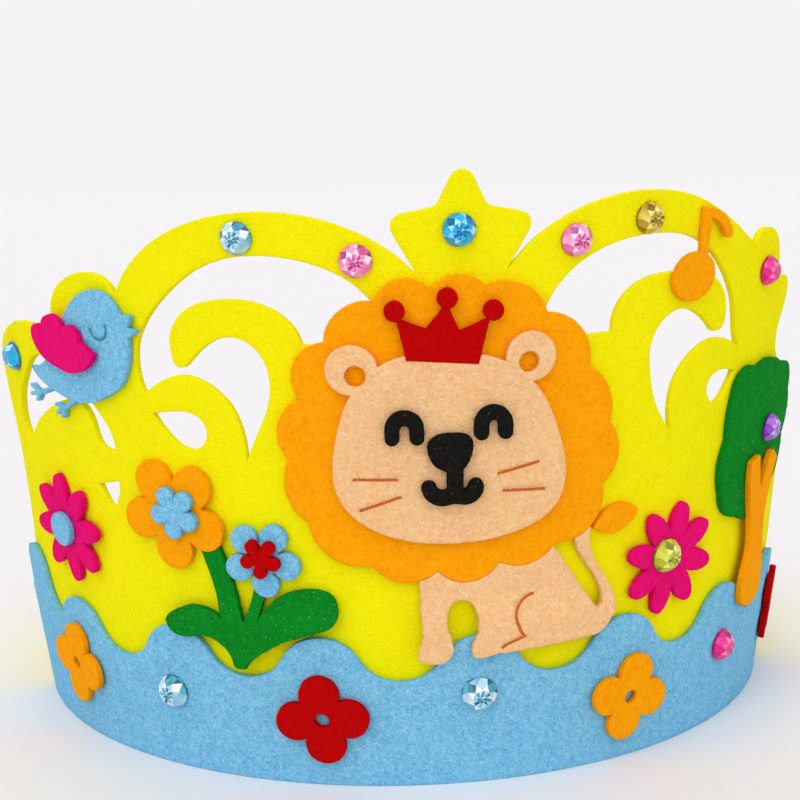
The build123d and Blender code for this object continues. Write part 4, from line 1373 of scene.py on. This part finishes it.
@dataclass
class Hairs:
    """Short loose hairs that lie on felt and stand off its cut edges."""

    per_area: float = 0.3
    seed: int = 1
    length: float = 0.95
    length_shares: tuple[float, float] = (0.55, 1.35)
    thickness: float = 0.045
    bends: tuple[tuple[float, float, float], ...] = (
        (0.0, 0.0, -0.05), (0.32, 0.07, 0.11), (0.68, -0.04, 0.17), (1.0, 0.06, 0.12),
    )
    edge_share: float = 1.2
    lowest_facing: float = -0.5

    def pattern(self) -> bpy.types.Object:
        """The hair, three-sided and pointed, with its thickness in proportion, made once.

        Returns:
            The hair, a unit long.
        """
        name = "loose_hair"
        if name in bpy.data.objects:
            return bpy.data.objects[name]
        thin = self.thickness / self.length / 2
        verts = [self.bends[0]]
        for x, y, z in self.bends[1:3]:
            for k in range(3):
                turn = 2 * math.pi * k / 3
                verts.append((x, y + thin * math.cos(turn), z + thin * math.sin(turn)))
        verts.append(self.bends[3])
        faces = [(0, 1 + (k + 1) % 3, 1 + k) for k in range(3)]
        faces += [(1 + k, 1 + (k + 1) % 3, 4 + (k + 1) % 3, 4 + k) for k in range(3)]
        faces += [(4 + k, 4 + (k + 1) % 3, 7) for k in range(3)]
        mesh = bpy.data.meshes.new(name)
        mesh.from_pydata(verts, [], faces)
        mark = mesh.attributes.new("loose_hair", "FLOAT", "POINT")
        mark.data.foreach_set("value", [1.0] * len(verts))
        return bpy.data.objects.new(name, mesh)

    def tree(self) -> GeometryTree:
        """The tree that sets the hairs, more on cut edges and none under the felt.

        Returns:
            The tree.
        """
        made = GeometryTree("loose_hairs", [
            ("Hair", "NodeSocketObject", None),
            ("Hairs to a square metre", "NodeSocketFloat", 1.0),
            ("Hair length", "NodeSocketFloat", MILLIMETRE),
            ("Extra on cut edges", "NodeSocketFloat", 1.0),
            ("Seed", "NodeSocketInt", 1),
            ("Felt", "NodeSocketMaterial", None),
        ])
        tree, entry = made.tree, made.entry
        seed = {"Seed": entry["Seed"]}
        edge = made.attribute("cut_edge", "FLOAT")
        more = maths(tree, "MULTIPLY_ADD", edge, entry["Extra on cut edges"], 1.0)
        density = maths(tree, "MULTIPLY", more, entry["Hairs to a square metre"])
        normal = made.add("GeometryNodeInputNormal").outputs["Normal"]
        facing = made.add("ShaderNodeSeparateXYZ", {0: normal}).outputs["Z"]
        upward = maths(tree, "GREATER_THAN", facing, self.lowest_facing)
        density = maths(tree, "MULTIPLY", density, upward)
        spread = made.add("GeometryNodeDistributePointsOnFaces", {
            "Mesh": entry["Geometry"], "Density": density, **seed,
        }).outputs
        turn = made.add("FunctionNodeRandomValue", {
            **seed, 0: (0.0, 0.0, 0.0), 1: (0.0, 0.0, 2 * math.pi),
        }, data_type="FLOAT_VECTOR").outputs[0]
        about = made.add("FunctionNodeEulerToRotation", {"Euler": turn}).outputs[0]
        turned = made.add("FunctionNodeRotateRotation", {
            "Rotation": spread["Rotation"], "Rotate By": about,
        }, rotation_space="LOCAL").outputs[0]
        shortest, longest = self.length_shares
        share = made.add("FunctionNodeRandomValue", {**seed, 2: shortest, 3: longest},
                         data_type="FLOAT").outputs[1]
        size = maths(tree, "MULTIPLY", share, entry["Hair length"])
        grown = made.instances(spread["Points"], entry["Hair"], turned, size)
        join = made.add("GeometryNodeJoinGeometry")
        for part in (grown, entry["Geometry"]):
            tree.links.new(part, join.inputs[0])
        made.close(join.outputs[0], entry["Felt"])
        return made

    def grow(self, bare: bpy.types.Object, material: bpy.types.Material) -> bpy.types.Object:
        """Sets the hairs on a piece.

        Args:
            bare: The bare felt.
            material: Its material.

        Returns:
            The felt with its hairs.
        """
        return self.tree().run(bare, {
            "Hair": self.pattern(),
            "Hairs to a square metre": self.per_area / MILLIMETRE ** 2,
            "Hair length": self.length * MILLIMETRE,
            "Extra on cut edges": self.edge_share,
            "Seed": self.seed,
            "Felt": material,
        })


# Sub-assemblies


@dataclass
class Band:
    """The fretted yellow band and the blue strip with a wavy edge round its foot."""

    band_pitch: float = 2.0
    band_edge: float = 0.9
    strip_pitch: float = 1.7
    hairs: float = 0.16

    def build(self) -> None:
        """Cuts the band and the strip."""
        cut("crown_band", Felt.YELLOW, pitch=self.band_pitch, edge_pitch=self.band_edge,
            hairs=self.hairs / 2)
        cut("wave_strip", Felt.BLUE, pitch=self.strip_pitch, hairs=self.hairs)


@dataclass
class Lion:
    """The lion: mane, face with its features, little crown, body and tail tuft."""

    pitch: float = 1.3
    face_edge: float = 0.4
    face_rim: float = 0.3
    body_edge: float = 0.5
    fine_pitch: float = 0.7
    fine_edge: float = 0.35
    fine_rim: float = 0.24
    fine_felts: dict[str, Felt] = field(default_factory=lambda: {
        "lion_crown": Felt.RED,
        "lion_tail_tuft": Felt.ORANGE,
        "lion_left_eye": Felt.BLACK,
        "lion_right_eye": Felt.BLACK,
        "lion_nose_mouth": Felt.BLACK,
    })

    def build(self) -> None:
        """Cuts the lion's pieces from the back to the front."""
        cut("lion_mane", Felt.ORANGE, pitch=self.pitch)
        cut("lion_face", Felt.PEACH, pitch=self.pitch, edge_pitch=self.face_edge,
            rim=self.face_rim)
        cut("lion_body", Felt.PEACH, pitch=self.pitch, edge_pitch=self.body_edge, lap=True)
        for node, felt in self.fine_felts.items():
            cut(node, felt, flat=True, pitch=self.fine_pitch, edge_pitch=self.fine_edge,
                rim=self.fine_rim)


@dataclass
class Flowers:
    """The plant with two flowers, the daisies and the four-petalled flowers on the strip."""

    pitch: float = 1.0
    edge_pitch: float = 0.45
    felts: dict[str, Felt] = field(default_factory=lambda: {
        "orange_flower": Felt.ORANGE,
        "orange_flower_centre": Felt.BLUE,
        "blue_flower": Felt.BLUE,
        "blue_flower_centre": Felt.RED,
        "left_daisy": Felt.MAGENTA,
        "left_daisy_centre": Felt.BLUE,
        "right_daisy": Felt.MAGENTA,
        "band_flower_red": Felt.RED,
        "band_flower_orange_left": Felt.ORANGE,
        "band_flower_orange_right": Felt.ORANGE,
        "band_flower_red_side": Felt.RED,
    })

    def build(self) -> None:
        """Cuts the stem and every flower."""
        cut("plant_stem", Felt.GREEN, pitch=self.pitch, edge_pitch=self.edge_pitch, lap=True)
        for node, felt in self.felts.items():
            cut(node, felt, flat=True, pitch=self.pitch, edge_pitch=self.edge_pitch)


@dataclass
class Bird:
    """The bird and its wing."""

    pitch: float = 0.9
    body_edge: float = 0.35
    body_rim: float = 0.24
    wing_edge: float = 0.4

    def build(self) -> None:
        """Cuts the bird and its wing."""
        cut("bird_body", Felt.BLUE, pitch=self.pitch, edge_pitch=self.body_edge,
            rim=self.body_rim)
        cut("bird_wing", Felt.MAGENTA, flat=True, pitch=self.pitch, edge_pitch=self.wing_edge)


@dataclass
class TreeAndNote:
    """The tree at the right and the music note on the arch."""

    pitch: float = 1.0
    leafy_edge: float = 0.5
    fine_edge: float = 0.4

    def build(self) -> None:
        """Cuts the tree's top, its trunk and the note."""
        cut("tree_top", Felt.GREEN, pitch=self.pitch, edge_pitch=self.leafy_edge)
        cut("tree_trunk", Felt.ORANGE, pitch=self.pitch, edge_pitch=self.fine_edge)
        cut("music_note", Felt.ORANGE, flat=True, pitch=self.pitch, edge_pitch=self.fine_edge)


# Ranges of the facets' painted brightness, standing in for reflections, in even and in odd eighths
# of a stone.
PAINTED_FACET_LIGHT = {
    "heart": ((0.0, 0.4), (0.3, 0.9)),
    "heart_point": ((0.0, 0.45), (0.0, 0.45)),
    "table_side": ((0.5, 1.0), (0.5, 1.0)),
    "table_turn": ((0.1, 0.7), (0.1, 0.7)),
    "shoulder": ((0.5, 1.0), (0.5, 1.0)),
    "kite": ((0.6, 1.0), (0.1, 0.6)),
    "skirt": ((0.0, 0.8), (0.0, 0.8)),
    "skirt_turn": ((0.2, 1.0), (0.2, 1.0)),
    "girdle": ((0.1, 0.4), (0.1, 0.4)),
    "back": ((0.2, 0.2), (0.2, 0.2)),
}


@dataclass
class Rhinestones:
    """Flat-backed stones cut as brilliants, set where their solids are."""

    height: float = 0.36
    girdle: float = 0.07
    table: float = 0.54
    heart: float = 0.42
    waist: float = 0.80
    waist_height: float = 0.62
    back_facing: float = -0.9
    width_share: float = 1.0
    seed: int = 11

    @staticmethod
    def ring(work: bmesh.types.BMesh, width: float, height: float, start: float = 0.5,
             count: int = 8) -> list[bmesh.types.BMVert]:
        """Sets corners round a stone.

        Args:
            work: Mesh in the making.
            width: The ring's width.
            height: Its height.
            start: Where it starts, in eighths of a turn.
            count: How many corners it has.

        Returns:
            The corners.
        """
        turns = [2 * math.pi * (k * 8 / count + start) / 8 for k in range(count)]
        return [work.verts.new((width / 2 * math.cos(turn), width / 2 * math.sin(turn), height))
                for turn in turns]

    def pattern(self) -> bpy.types.Object:
        """One stone, a unit across, its back at z = 0.

        Returns:
            The stone, with a tone for each facet.
        """
        work = bmesh.new()
        facet_light = work.faces.layers.float.new("facet_tone")
        rng = np.random.default_rng(self.seed)
        waist_at = self.girdle + self.waist_height * (self.height - self.girdle)
        table = self.ring(work, self.table, self.height, 0.0)
        between = self.ring(work, self.table * math.cos(math.pi / 8), self.height)
        heart = self.ring(work, self.table * self.heart, self.height)
        waist = self.ring(work, self.waist, waist_at)
        rim = self.ring(work, 1.0, self.girdle, 0.0, 16)
        foot = self.ring(work, 1.0, 0.0, 0.0, 16)
        middle = work.verts.new((0.0, 0.0, self.height))
        facets = []
        for k in range(8):
            after = (k + 1) % 8
            facets += [
                ("heart", k, (middle, heart[k - 1], heart[k])),
                ("heart_point", k, (heart[k - 1], table[k], heart[k])),
                ("table_side", k, (heart[k], table[k], between[k])),
                ("table_turn", k, (heart[k], between[k], table[after])),
                ("shoulder", k, (table[k], waist[k], table[after], between[k])),
                ("kite", k, (table[k], waist[k - 1], rim[2 * k], waist[k])),
                ("skirt", k, (waist[k], rim[2 * k], rim[2 * k + 1])),
                ("skirt_turn", k, (waist[k], rim[2 * k + 1], rim[(2 * k + 2) % 16])),
            ]
        for k in range(16):
            after = (k + 1) % 16
            facets.append(("girdle", k, (rim[k], foot[k], foot[after], rim[after])))
        facets.append(("back", 0, tuple(reversed(foot))))
        for kind, k, verts in facets:
            work.faces.new(verts)[facet_light] = float(rng.uniform(*PAINTED_FACET_LIGHT[kind][k % 2]))
        bmesh.ops.recalc_face_normals(work, faces=work.faces)
        mesh = bpy.data.meshes.new("stone_pattern")
        work.to_mesh(mesh)
        work.free()
        return bpy.data.objects.new("stone_pattern", mesh)

    def tree(self) -> GeometryTree:
        """The tree that sets a stone on each point.

        Returns:
            The tree.
        """
        made = GeometryTree("set_stones", [
            ("Stone", "NodeSocketObject", None),
            ("Width share", "NodeSocketFloat", 1.0),
            ("Foil", "NodeSocketMaterial", None),
        ])
        entry, facing = made.entry, made.attribute("facing", "FLOAT_VECTOR")
        turned = made.add("FunctionNodeAlignRotationToVector", {"Vector": facing}, axis="Z")
        size = maths(made.tree, "MULTIPLY", made.attribute("width", "FLOAT"),
                     entry["Width share"])
        put = made.instances(entry["Geometry"], entry["Stone"], turned.outputs[0], size)
        made.close(put, entry["Foil"])
        return made

    def seat(self, node: str) -> tuple[Vector, Vector, float]:
        """Where a stone's solid sits.

        Args:
            node: The solid.

        Returns:
            Middle of its back, the direction that it faces, and its width.
        """
        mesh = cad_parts[node].data
        middle = sum((v.co for v in mesh.vertices), Vector()) / len(mesh.vertices)
        outward = Vector(Wall().outward(np.array([middle]))[0])
        backs = [p for p in mesh.polygons if p.normal.dot(outward) < self.back_facing]
        facing = -sum((p.normal * p.area for p in backs), Vector()).normalized()
        rim = [mesh.vertices[n].co for p in backs for n in p.vertices]
        seat = sum((p.center * p.area for p in backs), Vector()) / sum(p.area for p in backs)
        return seat, facing, 2 * max((co - seat).length for co in rim)

    def build(self) -> None:
        """Sets the stones of each colour as one piece."""
        pattern, tree = self.pattern(), self.tree()
        for stone, finish in STONES.items():
            nodes = [
                name for name, node in sorted(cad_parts.items())
                if name.startswith("gem_")
                and node.data.materials[0].name.split(".")[0] == stone.value
            ]
            if not nodes:
                continue
            seats = [self.seat(node) for node in nodes]
            mesh = bpy.data.meshes.new(stone.value + "s")
            mesh.from_pydata([tuple(seat) for seat, _, _ in seats], [], [])
            facing = mesh.attributes.new("facing", "FLOAT_VECTOR", "POINT")
            facing.data.foreach_set("vector", [value for _, way, _ in seats for value in way])
            width = mesh.attributes.new("width", "FLOAT", "POINT")
            width.data.foreach_set("value", [size for _, _, size in seats])
            points = bpy.data.objects.new(stone.value + "s", mesh)
            piece = tree.run(points, {
                "Stone": pattern, "Width share": self.width_share, "Foil": finish.material(),
            })
            piece.name = stone.value + "s"
            report(piece, stone.value, *nodes)


# Studio


@dataclass(frozen=True)
class Lamp:
    """A soft lamp far off, by its angles round and up, its softness and its strength."""

    name: str
    azimuth: float
    elevation: float
    softness: float
    strength: float

    def hang(self) -> None:
        """Puts the lamp in the scene, facing the object."""
        lamp = bpy.data.lights.new(self.name, "SUN")
        lamp.angle = math.radians(self.softness)
        lamp.energy = self.strength
        turn, rise = math.radians(self.azimuth), math.radians(self.elevation)
        level = math.cos(rise)
        way = Vector((math.sin(turn) * level, -math.cos(turn) * level, math.sin(rise)))
        holder = bpy.data.objects.new(self.name, lamp)
        holder.location = way
        holder.rotation_euler = (-way).to_track_quat("-Z", "Y").to_euler()
        bpy.context.scene.collection.objects.link(holder)


@dataclass
class Studio:
    """Pale floor and backdrop, soft lamps and the camera."""

    camera_place: tuple[float, float, float] = (-0.0436, -0.3595, 0.1229)
    look: tuple[float, float, float] = (0.12057, 0.97985, -0.15926)
    up: tuple[float, float, float] = (0.04345, 0.15596, 0.98681)
    lens: float = 64.34
    sensor: float = 36.0
    nearest: float = 0.01
    air: float = 0.52
    backdrop: float = 0.913
    backdrop_colour: Colour = (1.0, 0.992, 1.0, 1.0)
    paper: Colour = linear(238, 236, 238)
    paper_grain: Colour = linear(225, 222, 226)
    grain_scale: float = 30.0
    grain_detail: float = 2.0
    grain_share: float = 0.04
    paper_roughness: float = 0.9
    paper_specular: float = 0.1
    floor_rings: tuple[float, ...] = (0.6, 2.0, 9.0)
    floor_corners: int = 48
    lamps: tuple[Lamp, ...] = (
        Lamp("window_lamp", -34.0, 46.0, 60.0, 1.45),
        Lamp("fill_lamp", 40.0, 30.0, 70.0, 0.55),
        Lamp("back_lamp", 170.0, 55.0, 60.0, 0.5),
    )

    def floor(self) -> None:
        """Lays the wide round floor."""
        corners = self.floor_corners
        turns = [2 * math.pi * k / corners for k in range(corners)]
        verts = [(0.0, 0.0, 0.0)]
        for reach in self.floor_rings:
            verts += [(reach * math.cos(turn), reach * math.sin(turn), 0.0) for turn in turns]
        faces = [(0, 1 + k, 1 + (k + 1) % corners) for k in range(corners)]
        for ring in range(len(self.floor_rings) - 1):
            low, high = 1 + ring * corners, 1 + (ring + 1) * corners
            faces += [(low + k, high + k, high + (k + 1) % corners, low + (k + 1) % corners)
                      for k in range(corners)]
        mesh = bpy.data.meshes.new("studio_floor")
        mesh.from_pydata(verts, [], faces)
        floor = bpy.data.objects.new("studio_floor", mesh)
        made = Dressing("studio_paper")
        grain = clouds(made.tree, made.place, self.grain_scale, self.grain_detail)
        share = maths(made.tree, "MULTIPLY", grain, self.grain_share)
        mesh.materials.append(made.finish({
            "Base Color": made.mix(share, self.paper, self.paper_grain),
            "Roughness": self.paper_roughness,
            "Specular IOR Level": self.paper_specular,
        }))
        bpy.context.scene.collection.objects.link(floor)
        floor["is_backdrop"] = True

    def surroundings(self) -> None:
        """Sets the pale air: it lights the object softly, and shows as pale as the floor."""
        world = bpy.data.worlds.new("studio_air")
        world.use_nodes = True
        tree = world.node_tree
        air, shown = tree.nodes["Background"], tree.nodes.new("ShaderNodeBackground")
        for node, colour, strength in ((air, (1.0, 1.0, 1.0, 1.0), self.air),
                                       (shown, self.backdrop_colour, self.backdrop)):
            node.inputs["Color"].default_value = colour
            node.inputs["Strength"].default_value = strength
        path = tree.nodes.new("ShaderNodeLightPath").outputs
        seen = maths(tree, "MAXIMUM", path["Is Camera Ray"], path["Is Glossy Ray"])
        seen = maths(tree, "MAXIMUM", seen, path["Is Transmission Ray"])
        either = tree.nodes.new("ShaderNodeMixShader")
        for number, socket in enumerate((seen, air.outputs[0], shown.outputs[0])):
            tree.links.new(socket, either.inputs[number])
        tree.links.new(either.outputs[0], tree.nodes["World Output"].inputs["Surface"])
        bpy.context.scene.world = world

    def camera(self) -> None:
        """Sets the camera at the photograph's viewing angle."""
        lens = bpy.data.cameras.new("camera")
        lens.lens = self.lens
        lens.sensor_width = self.sensor
        lens.clip_start = self.nearest
        holder = bpy.data.objects.new("camera", lens)
        look = Vector(self.look).normalized()
        right = look.cross(Vector(self.up)).normalized()
        turn = Matrix((right, right.cross(look), -look)).transposed().to_4x4()
        holder.matrix_world = Matrix.Translation(self.camera_place) @ turn
        bpy.context.scene.collection.objects.link(holder)
        bpy.context.scene.camera = holder

    def build(self) -> None:
        """Makes the whole studio."""
        bpy.context.scene.view_settings.view_transform = "Standard"
        self.floor()
        for lamp in self.lamps:
            lamp.hang()
        self.surroundings()
        self.camera()


def box_now() -> list[list[float]]:
    """The object's box at this moment.

    Returns:
        Its lowest and its highest corner.
    """
    bpy.context.view_layer.update()
    return [[float(value) for value in corner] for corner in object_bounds()]


def main() -> None:
    """Builds the crown's pieces in order, then the studio."""
    logging.basicConfig(level=logging.INFO, format="%(name)s: %(message)s")
    cad_box = box_now()
    for part in (Band(), Lion(), Flowers(), Bird(), TreeAndNote(), Rhinestones()):
        part.build()
        log.info("%s done", type(part).__name__)
    Studio().build()
    {"cad": cad_box, "visual": box_now()}


if __name__ == "__main__":
    main()
